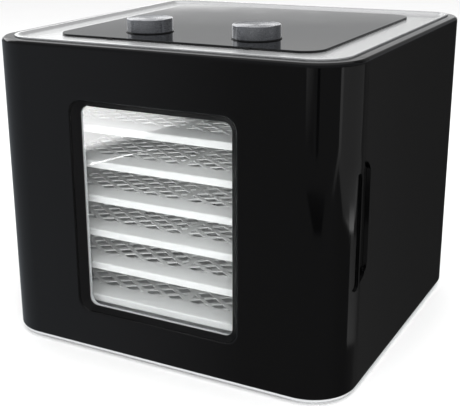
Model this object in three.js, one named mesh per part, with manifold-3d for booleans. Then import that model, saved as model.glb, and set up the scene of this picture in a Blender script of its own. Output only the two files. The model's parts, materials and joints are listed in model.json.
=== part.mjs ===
// Food dehydrator: a free-standing cabinet with a full-front door, six trays and a rear fan.
// Millimetres, +Z up, front at -Y. The origin is the centre of the footprint, on the floor.

import * as THREE from 'three';
import { mergeVertices } from 'three/addons/utils/BufferGeometryUtils.js';
import Module from 'manifold-3d';

const wasm = await Module();
wasm.setup();

// ---------- Driving dimensions ----------

const GAP = 0.3; // between pieces that touch
const ARC_SEGMENTS = 4; // half the steps in each rounded corner

const HALF_WIDTH = 170;
const HALF_DEPTH = 166;
const CORNER_RADIUS = 40;
const SHELL_BOTTOM = 6;
const SHELL_TOP = 281.6;
const WALL = 3;
const EDGE_CHAMFER = 2.6;
const EDGE_CHAMFER_HEIGHT = 3.6;
const RIM_WIDTH = 11.7;
const RIM_THICKNESS = 4;
const RIM_REAR_RADIUS = 18.3;
const LIP_THICKNESS = 3;
const REAR_COVER_HALF = 130;

const DOOR_EDGE_Y = -125; // rear edge of the door's side returns
const DOOR_GAP = 0.6;
const HINGE_X = -165;
const HINGE_Y = -130;
const HINGE_EDGE_RADIUS = 5;
const HINGE_SIDE_CLEARANCE = 2.5;

const WINDOW_OUTER = { halfWidth: 79.5, bottom: 40.5, top: 235, radius: 12 };
const WINDOW_INNER = { halfWidth: 73, bottom: 44, top: 229.5, radius: 8 };
const WINDOW_DEPTH = 7;
const PANE_THICKNESS = 3;

const TRAY_COUNT = 6;
const TRAY_PITCH = 32.4;
const LOWEST_TRAY_TOP = 45.1;
const TRAY_HALF_WIDTH = 143.5;
const TRAY_FRONT = -138.5;
const TRAY_REAR = 106;
const TRAY_EDGE_HEIGHT = 6.5;
const TRAY_RIM_WIDTH = 24;

const CAVITY_HALF_WIDTH = 146;
const CAVITY_BOTTOM = 29;
const CAVITY_TOP = 237;
const CAVITY_REAR = 112;
const FRAME_Y = -148;
const SHEET = 2; // inner panels and brackets

const KNOB_X = 53;
const KNOB_Y = -75;
const KNOB_RADIUS = 20.75;
const KNOB_TOP = 294.4;
const GLASS = { halfWidth: 127, front: -120, rear: 124, radius: 19, bottom: 280.5, top: 282.2 };

const FAN_Z = 133;
const FAN_RADIUS = 58;
const FAN_Y = 128;

// ---------- Materials ----------

function material(color, roughness, metalness, opacity = 1) {
  const transparent = opacity < 1;
  return new THREE.MeshStandardMaterial({ color, roughness, metalness, opacity, transparent });
}

const MATERIALS = {
  blackGloss: material(0x0b0b0c, 0.08, 0),
  silver: material(0xc9cbcd, 0.3, 0.9),
  darkGlass: material(0x15171a, 0.05, 0),
  clearGlass: material(0xe8eef0, 0.03, 0, 0.25),
  satinMetal: material(0x8c9097, 0.35, 0.9),
  darkPlastic: material(0x1a1a1c, 0.5, 0),
  trayWhite: material(0xf0f1f0, 0.5, 0),
  cavityWhite: material(0xdfe2e3, 0.45, 0),
  baseGrey: material(0xd4d5d6, 0.6, 0),
  steel: material(0x9a9c9f, 0.4, 0.9),
  zincSteel: material(0xb4b6b8, 0.3, 1),
  rubber: material(0x8f9193, 0.9, 0),
  motorBlack: material(0x2a2b2e, 0.6, 0.2),
  heater: material(0x55504c, 0.5, 0.8),
};

// ---------- Solids ----------

function solid(geometry) {
  geometry.deleteAttribute('normal');
  geometry.deleteAttribute('uv');
  const merged = mergeVertices(geometry, 1e-4);
  return new wasm.Manifold(new wasm.Mesh({
    numProp: 3,
    vertProperties: new Float32Array(merged.attributes.position.array),
    triVerts: new Uint32Array(merged.index.array),
  }));
}

function geometryOf(body) {
  const mesh = body.getMesh();
  const indexed = new THREE.BufferGeometry();
  indexed.setAttribute('position', new THREE.BufferAttribute(mesh.vertProperties, 3));
  indexed.setIndex(new THREE.BufferAttribute(mesh.triVerts, 1));
  const flat = indexed.toNonIndexed();
  flat.computeVertexNormals();
  return flat;
}

function box(x, y, z) {
  const geometry = new THREE.BoxGeometry(x[1] - x[0], y[1] - y[0], z[1] - z[0]);
  geometry.translate((x[0] + x[1]) / 2, (y[0] + y[1]) / 2, (z[0] + z[1]) / 2);
  return solid(geometry);
}

// A disc or cone along Z.
function upright(x, y, radius, z, segments = 24) {
  const geometry = new THREE.CylinderGeometry(radius, radius, z[1] - z[0], segments);
  geometry.rotateX(Math.PI / 2);
  geometry.translate(x, y, (z[0] + z[1]) / 2);
  return solid(geometry);
}

// A disc along Y.
function lying(x, z, radius, y, segments = 24) {
  const geometry = new THREE.CylinderGeometry(radius, radius, y[1] - y[0], segments);
  geometry.translate(x, (y[0] + y[1]) / 2, z);
  return solid(geometry);
}

// A shape drawn in X and Y, raised between two heights.
function prism(shape, z) {
  const options = { depth: z[1] - z[0], bevelEnabled: false, curveSegments: ARC_SEGMENTS };
  const geometry = new THREE.ExtrudeGeometry(shape, options);
  geometry.translate(0, 0, z[0]);
  return solid(geometry);
}

// A shape drawn in X and Z, standing between two depths.
function standing(shape, y) {
  const options = { depth: y[1] - y[0], bevelEnabled: false, curveSegments: ARC_SEGMENTS };
  const geometry = new THREE.ExtrudeGeometry(shape, options);
  geometry.translate(0, 0, -y[1]);
  geometry.rotateX(Math.PI / 2);
  return solid(geometry);
}

// A rectangle with one radius for its two lower corners and one for its two upper corners.
function roundedShape(x, y, lowRadius, highRadius = lowRadius) {
  const shape = new THREE.Shape();
  shape.moveTo(x[0] + lowRadius, y[0]);
  shape.absarc(x[1] - lowRadius, y[0] + lowRadius, lowRadius, -Math.PI / 2, 0);
  shape.absarc(x[1] - highRadius, y[1] - highRadius, highRadius, 0, Math.PI / 2);
  shape.absarc(x[0] + highRadius, y[1] - highRadius, highRadius, Math.PI / 2, Math.PI);
  shape.absarc(x[0] + lowRadius, y[0] + lowRadius, lowRadius, Math.PI, Math.PI * 1.5);
  return shape;
}

// Rings with equal numbers of points, one above the other, closed at both ends.
function loft(levels) {
  const rings = levels.map(([shape]) => openRing(shape));
  const count = rings[0].length;
  const positions = [];
  rings.forEach((ring, level) => {
    ring.forEach((point) => positions.push(point.x, point.y, levels[level][1]));
  });
  const index = [];
  for (let level = 0; level < rings.length - 1; level += 1) {
    for (let i = 0; i < count; i += 1) {
      const a = level * count + i;
      const b = level * count + ((i + 1) % count);
      index.push(a, b, b + count, a, b + count, a + count);
    }
  }
  const top = (rings.length - 1) * count;
  const faces = THREE.ShapeUtils.triangulateShape(rings[0], []);
  faces.forEach(([a, b, c]) => index.push(c, b, a, a + top, b + top, c + top));
  const geometry = new THREE.BufferGeometry();
  geometry.setAttribute('position', new THREE.Float32BufferAttribute(positions, 3));
  geometry.setIndex(index);
  return geometry;
}

function openRing(shape) {
  const points = shape.getPoints(ARC_SEGMENTS);
  const ring = points.filter((point, i) => i === 0 || point.distanceTo(points[i - 1]) > 1e-6);
  const closed = ring[0].distanceTo(ring[ring.length - 1]) < 1e-6;
  return closed ? ring.slice(0, -1) : ring;
}

function joined(...bodies) {
  return bodies.reduce((whole, body) => whole.add(body));
}

function cut(body, ...tools) {
  return tools.reduce((whole, tool) => whole.subtract(tool), body);
}

const group = new THREE.Group();

function place(name, body, look) {
  const mesh = new THREE.Mesh(geometryOf(body), look);
  mesh.name = name;
  group.add(mesh);
}

// ---------- Outlines ----------

// The cabinet's plan, drawn in by a distance all round.
function plan(inset, rearRadius = CORNER_RADIUS - inset) {
  const x = [inset - HALF_WIDTH, HALF_WIDTH - inset];
  const y = [inset - HALF_DEPTH, HALF_DEPTH - inset];
  return roundedShape(x, y, CORNER_RADIUS - inset, rearRadius);
}

// The opening inside the rim, and everything that follows its edge.
function rimPlan(inset) {
  return plan(inset, RIM_REAR_RADIUS + RIM_WIDTH - inset);
}

function windowShape(size, grow = 0) {
  const x = [-size.halfWidth - grow, size.halfWidth + grow];
  const z = [size.bottom - grow, size.top + grow];
  return roundedShape(x, z, size.radius + grow);
}

// ---------- Black cabinet skin, shared by the door, the sides and the rear cover ----------

function skin() {
  const chamferStart = SHELL_TOP - EDGE_CHAMFER_HEIGHT;
  const levels = [[plan(0), SHELL_BOTTOM], [plan(0), chamferStart], [plan(EDGE_CHAMFER), SHELL_TOP]];
  const block = solid(loft(levels));
  const hollow = prism(plan(WALL), [SHELL_BOTTOM + LIP_THICKNESS, SHELL_TOP - RIM_THICKNESS]);
  const opening = prism(rimPlan(RIM_WIDTH), [SHELL_BOTTOM - 1, SHELL_TOP + 1]);
  return cut(block, hollow, opening);
}

const SKIN = skin();
const FULL_HEIGHT = [SHELL_BOTTOM - 1, SHELL_TOP + 1];
const THROUGH_REAR = [HALF_DEPTH - 16, HALF_DEPTH + 1]; // a cut that passes through the rear cover

// ---------- Door ----------

const HINGE_ARMS = [[14, 16], [270, 272]]; // heights of the two bracket arms
const ARM_CLEARANCE = 2; // above and below each arm
const PIN_RADIUS = 1.25;
const PIN_HOLE_RADIUS = 1.6;
const PINS = { lower: [9.3, 23.7], upper: [262, 277.3] };
const PIN_HOLES = [[9, 24], [261, 277.6]];
const POCKET_RADIUS = 3.8;
const LUG_HEIGHT = 6;
const GRIP_SLOT = { bottom: 100, top: 196, depth: 1.4 };
const GROOVE = { y: [-138.5, -128.7], bottom: 95.5, top: 193.5, depth: 1.8 };

// What belongs to the door: the front, with its hinge edge rounded about the hinge axis.
function doorZone() {
  const front = box([-HALF_WIDTH - 1, HALF_WIDTH + 1], [-HALF_DEPTH - 1, HINGE_Y], FULL_HEIGHT);
  const returns = box([HINGE_X, HALF_WIDTH + 1], [HINGE_Y - 1, DOOR_EDGE_Y], FULL_HEIGHT);
  const rolledEdge = upright(HINGE_X, HINGE_Y, HINGE_EDGE_RADIUS, FULL_HEIGHT, 20);
  return joined(front, returns, rolledEdge);
}

// The inner rear corner of the rim, rounded off so that it swings past the top panel.
function rimCornerTrim() {
  const corner = box([HINGE_X + 2, HINGE_X + 9], [HINGE_Y, HINGE_Y + 6], FULL_HEIGHT);
  const sweepRadius = 7.6;
  return cut(corner, upright(HINGE_X, HINGE_Y, sweepRadius, FULL_HEIGHT, 40));
}

function hingeLugs(arm) {
  const below = arm[0] - ARM_CLEARANCE;
  const above = arm[1] + ARM_CLEARANCE;
  const lower = upright(HINGE_X, HINGE_Y, HINGE_EDGE_RADIUS, [below - LUG_HEIGHT, below], 20);
  const upper = upright(HINGE_X, HINGE_Y, HINGE_EDGE_RADIUS, [above, above + LUG_HEIGHT - 2], 20);
  return joined(lower, upper);
}

// Room in the door's edge for a bracket arm, at every angle of the door.
function hingePocket(arm) {
  const z = [arm[0] - ARM_CLEARANCE, arm[1] + ARM_CLEARANCE];
  const swing = upright(HINGE_X, HINGE_Y, POCKET_RADIUS, z, 16);
  const slot = box([-HALF_WIDTH - 1, HINGE_X], [HINGE_Y, HINGE_Y + 6], z);
  return joined(swing, slot);
}

function windowFunnel() {
  const outer = windowShape(WINDOW_OUTER);
  const inner = windowShape(WINDOW_INNER);
  const face = HALF_DEPTH;
  const seat = HALF_DEPTH - WINDOW_DEPTH;
  const geometry = loft([[inner, seat - 3], [inner, seat], [outer, face], [outer, face + 1]]);
  geometry.rotateX(Math.PI / 2);
  return solid(geometry);
}

// A shallow groove in the door's side return, which leaves a fin to pull between it and the edge.
function pullGroove() {
  const half = (GROOVE.y[1] - GROOVE.y[0]) / 2;
  const outline = roundedShape([-half, half], [GROOVE.bottom, GROOVE.top], half - 0.1);
  const slot = standing(outline, [-HALF_WIDTH - 2, 6 - HALF_WIDTH]);
  const placed = slot.rotate([0, 0, 90]).translate([0, GROOVE.y[0] + half, 0]);
  const x = HALF_WIDTH - CORNER_RADIUS;
  const y = CORNER_RADIUS - HALF_DEPTH;
  const core = upright(x, y, CORNER_RADIUS - GROOVE.depth, [GROOVE.bottom - 1, GROOVE.top + 1], 72);
  return cut(placed, core);
}

function doorPanel() {
  const bossFront = -HALF_DEPTH + WALL - 0.5;
  const boss = standing(windowShape(WINDOW_OUTER, 3), [bossFront, -HALF_DEPTH + WINDOW_DEPTH + 1]);
  const body = joined(SKIN.intersect(doorZone()), boss);
  const grip = box([HALF_WIDTH - 10, HALF_WIDTH + 1], [DOOR_EDGE_Y - GRIP_SLOT.depth, DOOR_EDGE_Y + 1],
    [GRIP_SLOT.bottom, GRIP_SLOT.top]);
  const open = cut(body, windowFunnel(), rimCornerTrim(), grip, pullGroove());
  const withLugs = joined(open, ...HINGE_ARMS.map(hingeLugs));
  const pinHoles = PIN_HOLES.map((z) => upright(HINGE_X, HINGE_Y, PIN_HOLE_RADIUS, z, 12));
  return cut(withLugs, ...HINGE_ARMS.map(hingePocket), ...pinHoles);
}

const PANE_Y = [-HALF_DEPTH + WINDOW_DEPTH + 1 + GAP, -HALF_DEPTH + WINDOW_DEPTH + 1 + GAP + PANE_THICKNESS];
const LINER_Y = [PANE_Y[1] + GAP, PANE_Y[1] + GAP + 2.5];
const GASKET_Y = [LINER_Y[1] + GAP, FRAME_Y - GAP];
const GASKET_WIDTH = 5;
const FRAME_HALF_WIDTH = 151; // of the door's liner and of the cavity's front frame
const LINER_RIB = 1.5;
const CATCH = { x: [120, 145], z: [252, 264], thickness: 1.4 }; // the keeper and the magnet

function doorLiner() {
  const plate = standing(roundedShape([-FRAME_HALF_WIDTH, FRAME_HALF_WIDTH], [14, 270], 10), LINER_Y);
  const rib = standing(roundedShape([-92, 92], [32, 236], 12), [LINER_Y[0], LINER_Y[1] + LINER_RIB]);
  const ribInside = standing(roundedShape([-88, 88], [36, 232], 10), [LINER_Y[1], LINER_Y[1] + 3]);
  const opening = standing(windowShape(WINDOW_INNER, 1), [LINER_Y[0] - 1, LINER_Y[1] + 4]);
  return cut(joined(plate, cut(rib, ribInside)), opening);
}

function doorGasket() {
  const half = 150;
  const z = [21, 245];
  const outer = roundedShape([-half, half], z, 12);
  const inner = roundedShape([GASKET_WIDTH - half, half - GASKET_WIDTH],
    [z[0] + GASKET_WIDTH, z[1] - GASKET_WIDTH], 8);
  return cut(standing(outer, GASKET_Y), standing(inner, [GASKET_Y[0] - 1, GASKET_Y[1] + 1]));
}

function addDoor() {
  place('door_panel', doorPanel(), MATERIALS.blackGloss);
  const pane = standing(windowShape(WINDOW_INNER, 5), PANE_Y);
  place('window_pane', pane, MATERIALS.clearGlass);
  place('door_liner', doorLiner(), MATERIALS.cavityWhite);
  place('door_gasket', doorGasket(), MATERIALS.rubber);
  const keeper = box(CATCH.x, [LINER_Y[1] + GAP, LINER_Y[1] + GAP + CATCH.thickness], CATCH.z);
  place('door_keeper', keeper, MATERIALS.zincSteel);
  const lowerPin = upright(HINGE_X, HINGE_Y, PIN_RADIUS, PINS.lower, 10);
  const upperPin = upright(HINGE_X, HINGE_Y, PIN_RADIUS, PINS.upper, 10);
  place('hinge_pin_lower', lowerPin, MATERIALS.zincSteel);
  place('hinge_pin_upper', upperPin, MATERIALS.zincSteel);
}

// ---------- Sides and rear cover ----------

const COVER_SCREWS = [[-121, 34], [121, 34], [-121, 252], [121, 252]];
const SCREW_TAB_Y = [159.4, 162.7];
const SCREW_TAB_HALF = 8;
const SCREW_TAB_END = 141;
const SCREW_HOLE_RADIUS = 2.1;

function screwTabs(side) {
  return COVER_SCREWS.filter(([x]) => x * side > 0).map(([x, z]) => {
    const reach = side > 0 ? [x - SCREW_TAB_HALF, SCREW_TAB_END] : [-SCREW_TAB_END, x + SCREW_TAB_HALF];
    return box(reach, SCREW_TAB_Y, [z - SCREW_TAB_HALF, z + SCREW_TAB_HALF]);
  });
}

function screwHoles() {
  return COVER_SCREWS.map(([x, z]) => lying(x, z, SCREW_HOLE_RADIUS, THROUGH_REAR, 12));
}

// A hand-hold behind the door's edge: deep at the seam, shallow towards the rear.
const SCOOP = { bottom: 101, top: 201, reach: 15, depth: 10, margin: 4 };

function scoopCutter() {
  const floor = HALF_WIDTH - SCOOP.depth;
  const profile = new THREE.Shape();
  profile.moveTo(floor, DOOR_EDGE_Y - 1);
  profile.lineTo(HALF_WIDTH + 1, DOOR_EDGE_Y - 1);
  profile.lineTo(HALF_WIDTH + 1, DOOR_EDGE_Y + SCOOP.reach + 1);
  profile.quadraticCurveTo(floor, DOOR_EDGE_Y + SCOOP.reach - 3, floor, DOOR_EDGE_Y + 5);
  const channel = prism(profile, [SCOOP.bottom, SCOOP.top]);
  const reach = SCOOP.reach + 1;
  const sideView = roundedShape([-reach, reach], [SCOOP.bottom, SCOOP.top], reach - 0.5);
  const outline = standing(sideView, [-HALF_WIDTH - 2, -floor + 2]);
  return channel.intersect(outline.rotate([0, 0, 90]).translate([0, DOOR_EDGE_Y, 0]));
}

// The cup behind the opening in the side wall. It shares its inner surface with that opening.
function scoopCup() {
  const x = [HALF_WIDTH - SCOOP.depth - WALL, HALF_WIDTH - WALL - GAP];
  const y = [DOOR_EDGE_Y + DOOR_GAP, DOOR_EDGE_Y + SCOOP.reach + SCOOP.margin];
  const block = box(x, y, [SCOOP.bottom - SCOOP.margin, SCOOP.top + SCOOP.margin]);
  return cut(block, scoopCutter());
}

function sideZone(side) {
  const x = side > 0 ? [REAR_COVER_HALF, HALF_WIDTH + 1] : [-HALF_WIDTH - 1, -REAR_COVER_HALF];
  const front = side > 0 ? DOOR_EDGE_Y + DOOR_GAP : DOOR_EDGE_Y + HINGE_SIDE_CLEARANCE;
  return box(x, [front, HALF_DEPTH + 1], FULL_HEIGHT);
}

function addSides() {
  const left = joined(SKIN.intersect(sideZone(-1)), ...screwTabs(-1));
  place('side_shell_left', cut(left, ...screwHoles()), MATERIALS.blackGloss);
  const right = joined(SKIN.intersect(sideZone(1)), ...screwTabs(1));
  place('side_shell_right', cut(right, scoopCutter(), ...screwHoles()), MATERIALS.blackGloss);
  place('scoop_cup', scoopCup(), MATERIALS.blackGloss);
}

const INLET = { x: -86, z: 46, halfWidth: 14, halfHeight: 10.5 };
const GRILLE = { radius: 54, pitch: 11, rowsEachSide: 4 };
const VENTS = { x: 26, pitch: 9, count: 8, z: [30, 54] };
const SLOT_HALF = 2; // half the width of an air slot
const SCREW_HEAD = { radius: 3.5, sinkRadius: 3.9, bottom: 164.3, top: 165.8 };

function fanGrilleSlots() {
  const slots = [];
  for (let row = -GRILLE.rowsEachSide; row <= GRILLE.rowsEachSide; row += 1) {
    const lift = row * GRILLE.pitch;
    const half = Math.sqrt(GRILLE.radius ** 2 - lift ** 2);
    slots.push(box([-half, half], THROUGH_REAR, [FAN_Z + lift - SLOT_HALF, FAN_Z + lift + SLOT_HALF]));
  }
  return slots;
}

function ventSlots() {
  const slots = [];
  for (let column = 0; column < VENTS.count; column += 1) {
    const x = VENTS.x + column * VENTS.pitch;
    slots.push(box([x - SLOT_HALF, x + SLOT_HALF], THROUGH_REAR, VENTS.z));
  }
  return slots;
}

function rearCover() {
  const half = REAR_COVER_HALF - GAP;
  const panel = SKIN.intersect(box([-half, half], [100, HALF_DEPTH + 1], FULL_HEIGHT));
  const x = [INLET.x - INLET.halfWidth, INLET.x + INLET.halfWidth];
  const z = [INLET.z - INLET.halfHeight, INLET.z + INLET.halfHeight];
  const inletHole = box(x, THROUGH_REAR, z);
  const sinkY = [SCREW_HEAD.bottom - GAP, HALF_DEPTH + 1];
  const sinks = COVER_SCREWS.map(([sx, sz]) => lying(sx, sz, SCREW_HEAD.sinkRadius, sinkY, 16));
  return cut(panel, inletHole, ...sinks, ...screwHoles(), ...fanGrilleSlots(), ...ventSlots());
}

function coverScrew([x, z]) {
  const head = lying(x, z, SCREW_HEAD.radius, [SCREW_HEAD.bottom, SCREW_HEAD.top], 16);
  const shankRadius = 1.75;
  const shank = lying(x, z, shankRadius, [152, SCREW_HEAD.bottom + 0.7], 12);
  const driveSlot = box([x - 2.6, x + 2.6], [SCREW_HEAD.top - 0.6, HALF_DEPTH], [z - 0.5, z + 0.5]);
  return cut(joined(head, shank), driveSlot);
}

function mainsInlet() {
  const x = [INLET.x - INLET.halfWidth + GAP, INLET.x + INLET.halfWidth - GAP];
  const z = [INLET.z - INLET.halfHeight + GAP, INLET.z + INLET.halfHeight - GAP];
  const body = box(x, [143, 165.6], z);
  const socketFloor = 150;
  const socket = box([INLET.x - 11, INLET.x + 11], [socketFloor, HALF_DEPTH], [INLET.z - 7, INLET.z + 7]);
  const blades = [-7, 0, 7].map((offset) => {
    const lift = offset === 0 ? 2 : -1; // the earth blade sits higher
    const centre = INLET.x + offset;
    return box([centre - 1, centre + 1], [socketFloor - 1, 162], [INLET.z + lift - 2, INLET.z + lift + 2]);
  });
  return joined(cut(body, socket), ...blades);
}

function addRear() {
  place('rear_cover', rearCover(), MATERIALS.blackGloss);
  COVER_SCREWS.forEach((at, i) => place(`rear_cover_screw_${i + 1}`, coverScrew(at), MATERIALS.zincSteel));
  place('mains_inlet', mainsInlet(), MATERIALS.darkPlastic);
}

// ---------- Base and feet ----------

const FOOT = { inset: 6, height: 3, fromX: 118, fromY: 114, radius: 26, offset: 8 };
const BASE = { inset: 1.2, z: [3.3, 5.7] };

// A low pad under each corner: the cabinet's corner curve outside, a round edge inside.
function footShape(sideX, sideY) {
  const outer = [HALF_WIDTH - FOOT.inset, HALF_DEPTH - FOOT.inset];
  const cornerRadius = CORNER_RADIUS - FOOT.inset;
  const pad = prism(plan(FOOT.inset), [0, FOOT.height]);
  const height = [-1, FOOT.height + 1];
  const x = sideX > 0 ? [FOOT.fromX, outer[0] + 1] : [-outer[0] - 1, -FOOT.fromX];
  const y = sideY > 0 ? [FOOT.fromY, outer[1] + 1] : [-outer[1] - 1, -FOOT.fromY];
  const centreX = sideX * (outer[0] - cornerRadius + FOOT.offset);
  const centreY = sideY * (outer[1] - cornerRadius + FOOT.offset);
  const disc = upright(centreX, centreY, FOOT.radius, height, 24);
  return pad.intersect(box(x, y, height)).intersect(disc);
}

function addBase() {
  place('base_plate', prism(plan(BASE.inset), BASE.z), MATERIALS.baseGrey);
  const corners = [[-1, -1], [1, -1], [-1, 1], [1, 1]];
  corners.forEach(([x, y], i) => place(`foot_${i + 1}`, footShape(x, y), MATERIALS.baseGrey));
}

// ---------- Cavity ----------

function frontFrame() {
  const y = [FRAME_Y, FRAME_Y + SHEET];
  const plate = standing(roundedShape([-FRAME_HALF_WIDTH, FRAME_HALF_WIDTH], [12, 272], 8), y);
  const opening = box([1 - CAVITY_HALF_WIDTH, CAVITY_HALF_WIDTH - 1],
    [y[0] - 1, y[1] + 1], [CAVITY_BOTTOM, CAVITY_TOP]);
  return cut(plate, opening, ...bracketScrewHoles());
}

function trayTop(index) {
  return LOWEST_TRAY_TOP + index * TRAY_PITCH;
}

const PANEL_Y = [FRAME_Y + SHEET + GAP, CAVITY_REAR];
const LEDGE = { width: 6, thickness: 3, y: [-136, 104] };
const BAFFLE_SLOTS = { columns: 5, pitch: 54, halfWidth: 20, halfHeight: 3, lift: 10 };

// A side wall of the cavity, with a ledge under each tray.
function cavitySide(side) {
  const span = (a, b) => (side > 0 ? [a, b] : [-b, -a]);
  const wall = box(span(CAVITY_HALF_WIDTH, CAVITY_HALF_WIDTH + SHEET), PANEL_Y,
    [CAVITY_BOTTOM - SHEET, CAVITY_TOP + SHEET]);
  const ledges = [];
  for (let i = 0; i < TRAY_COUNT; i += 1) {
    const top = trayTop(i) - TRAY_EDGE_HEIGHT - GAP;
    const x = span(CAVITY_HALF_WIDTH - LEDGE.width, CAVITY_HALF_WIDTH + 1);
    ledges.push(box(x, LEDGE.y, [top - LEDGE.thickness, top]));
  }
  return joined(wall, ...ledges);
}

function rearBaffle() {
  const half = CAVITY_HALF_WIDTH + SHEET;
  const y = [CAVITY_REAR + GAP, CAVITY_REAR + GAP + SHEET];
  const plate = box([-half, half], y, [CAVITY_BOTTOM - SHEET, CAVITY_TOP + SHEET]);
  const slots = [];
  const { columns, pitch, halfWidth, halfHeight, lift } = BAFFLE_SLOTS;
  for (let row = 0; row < TRAY_COUNT; row += 1) {
    const z = trayTop(row) + lift;
    for (let column = 0; column < columns; column += 1) {
      const x = (column - (columns - 1) / 2) * pitch;
      const slotX = [x - halfWidth, x + halfWidth];
      slots.push(box(slotX, [y[0] - 1, y[1] + 1], [z - halfHeight, z + halfHeight]));
    }
  }
  return cut(plate, ...slots);
}

function addCavity() {
  const half = CAVITY_HALF_WIDTH - GAP;
  place('front_frame', frontFrame(), MATERIALS.cavityWhite);
  place('cavity_left', cavitySide(-1), MATERIALS.cavityWhite);
  place('cavity_right', cavitySide(1), MATERIALS.cavityWhite);
  const top = box([-half, half], PANEL_Y, [CAVITY_TOP, CAVITY_TOP + SHEET]);
  const floor = box([-half, half], PANEL_Y, [CAVITY_BOTTOM - SHEET, CAVITY_BOTTOM]);
  place('cavity_top', top, MATERIALS.cavityWhite);
  place('cavity_floor', floor, MATERIALS.cavityWhite);
  place('rear_baffle', rearBaffle(), MATERIALS.cavityWhite);
  const magnet = box(CATCH.x, [FRAME_Y - GAP - CATCH.thickness, FRAME_Y - GAP], CATCH.z);
  place('door_magnet', magnet, MATERIALS.motorBlack);
}

// ---------- Trays ----------

const TRAY_PLATE = 2.5;
const TRAY_SKIRT = 2;
const TRAY_CORNER = 6;
const TRAY_GRID = { columns: 3, rows: 2, bar: 4 };

function tray(index) {
  const top = trayTop(index);
  const x = [-TRAY_HALF_WIDTH, TRAY_HALF_WIDTH];
  const y = [TRAY_FRONT, TRAY_REAR];
  const body = prism(roundedShape(x, y, TRAY_CORNER), [top - TRAY_EDGE_HEIGHT, top]);
  const under = box([x[0] + TRAY_SKIRT, x[1] - TRAY_SKIRT], [y[0] + TRAY_SKIRT, y[1] - TRAY_SKIRT],
    [top - TRAY_EDGE_HEIGHT - 1, top - TRAY_PLATE]);
  return cut(body, under, ...trayCells(top));
}

// The openings of the floor, left between bars that run both ways.
function trayCells(top) {
  const inner = [TRAY_HALF_WIDTH - TRAY_RIM_WIDTH, (TRAY_REAR - TRAY_FRONT) / 2 - TRAY_RIM_WIDTH];
  const middle = (TRAY_FRONT + TRAY_REAR) / 2;
  const { columns, rows, bar } = TRAY_GRID;
  const width = (2 * inner[0] + bar) / columns;
  const depth = (2 * inner[1] + bar) / rows;
  const cells = [];
  for (let i = 0; i < columns; i += 1) {
    for (let j = 0; j < rows; j += 1) {
      const x = -inner[0] + i * width;
      const y = middle - inner[1] + j * depth;
      cells.push(box([x, x + width - bar], [y, y + depth - bar], [top - TRAY_PLATE - 1, top + 1]));
    }
  }
  return cells;
}

function addTrays() {
  for (let i = 0; i < TRAY_COUNT; i += 1) {
    place(`tray_${i + 1}`, tray(i), MATERIALS.trayWhite);
  }
}

// ---------- Hinge brackets ----------

const BRACKET_LEAF_X = [-150, -138];
const BRACKET_SCREWS = [[-147, 17.8], [-141, 17.8], [-147, 264.5], [-141, 264.5]];
const BRACKET_LEAF_Y = [FRAME_Y + SHEET + GAP, FRAME_Y + 2 * SHEET + GAP];
const BRACKET_LEAF_Z = { lower: [14, 25.5], upper: [258.5, 272] };
const BRACKET_EYE_RADIUS = 3.2;
const BRACKET_HALF = 2; // half the width of an arm

function bracketScrewHoles() {
  return BRACKET_SCREWS.map(([x, z]) => lying(x, z, 1.4, [FRAME_Y - 3, FRAME_Y + 8], 8));
}

// An eye for the pin, an arm that reaches in past the side wall, and a leaf behind the frame.
function hingeBracket(arm, leafZ) {
  const eye = upright(HINGE_X, HINGE_Y, BRACKET_EYE_RADIUS, arm, 14);
  const armY = [HINGE_Y - BRACKET_HALF, HINGE_Y + BRACKET_HALF];
  const reach = box([HINGE_X, BRACKET_LEAF_X[0] + 2], armY, arm);
  const shelf = box(BRACKET_LEAF_X, [BRACKET_LEAF_Y[0], armY[1]], arm);
  const leaf = box(BRACKET_LEAF_X, BRACKET_LEAF_Y, leafZ);
  const pinHole = upright(HINGE_X, HINGE_Y, PIN_HOLE_RADIUS, [arm[0] - 1, arm[1] + 1], 12);
  return cut(joined(eye, reach, shelf, leaf), pinHole, ...bracketScrewHoles());
}

function bracketScrew([x, z]) {
  const headRadius = 2.2;
  const head = lying(x, z, headRadius, [FRAME_Y - GAP - 1.2, FRAME_Y - GAP], 10);
  const shank = lying(x, z, 1, [FRAME_Y - 1, FRAME_Y + 6.5], 8);
  return joined(head, shank);
}

function addHinges() {
  const lower = hingeBracket(HINGE_ARMS[0], BRACKET_LEAF_Z.lower);
  const upper = hingeBracket(HINGE_ARMS[1], BRACKET_LEAF_Z.upper);
  place('hinge_bracket_lower', lower, MATERIALS.zincSteel);
  place('hinge_bracket_upper', upper, MATERIALS.zincSteel);
  BRACKET_SCREWS.forEach((at, i) => place(`bracket_screw_${i + 1}`, bracketScrew(at), MATERIALS.steel));
}

// ---------- Top panel, control glass and knobs ----------

const TOP_SURFACE = 280.2;
const TOP_LIP = 283;
const TOP_HOLE_RADIUS = 5;
const TOP_HOLE_SPAN = [270, 290];
const RECESS_INSET = RIM_WIDTH + 3;
const TAB = { x: 66, halfWidth: 3, depth: 1.3 };
const SHAFT_RADIUS = 3;
const SHAFT_TOP = 291.3;
const KNOB_CHAMFER = 0.8;
const BRACKET_DECK = { halfWidth: 100, y: [-108, -42], z: [268.3, 269.8] };

function shaftHoles(radius, z) {
  return [-1, 1].map((side) => upright(side * KNOB_X, KNOB_Y, radius, z, 16));
}

function topPanel() {
  const flange = prism(rimPlan(RIM_WIDTH - GAP), [SHELL_TOP + GAP, TOP_LIP]);
  const wall = prism(rimPlan(RIM_WIDTH + 1.8), [TOP_SURFACE - 1.2, TOP_LIP - 0.5]);
  const recess = prism(rimPlan(RECESS_INSET), [TOP_SURFACE, TOP_LIP + 1]);
  return cut(joined(flange, wall), recess, ...shaftHoles(TOP_HOLE_RADIUS, TOP_HOLE_SPAN));
}

function controlGlass() {
  const shape = roundedShape([-GLASS.halfWidth, GLASS.halfWidth], [GLASS.front, GLASS.rear], GLASS.radius);
  return cut(prism(shape, [GLASS.bottom, GLASS.top]), ...shaftHoles(TOP_HOLE_RADIUS, TOP_HOLE_SPAN));
}

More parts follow.
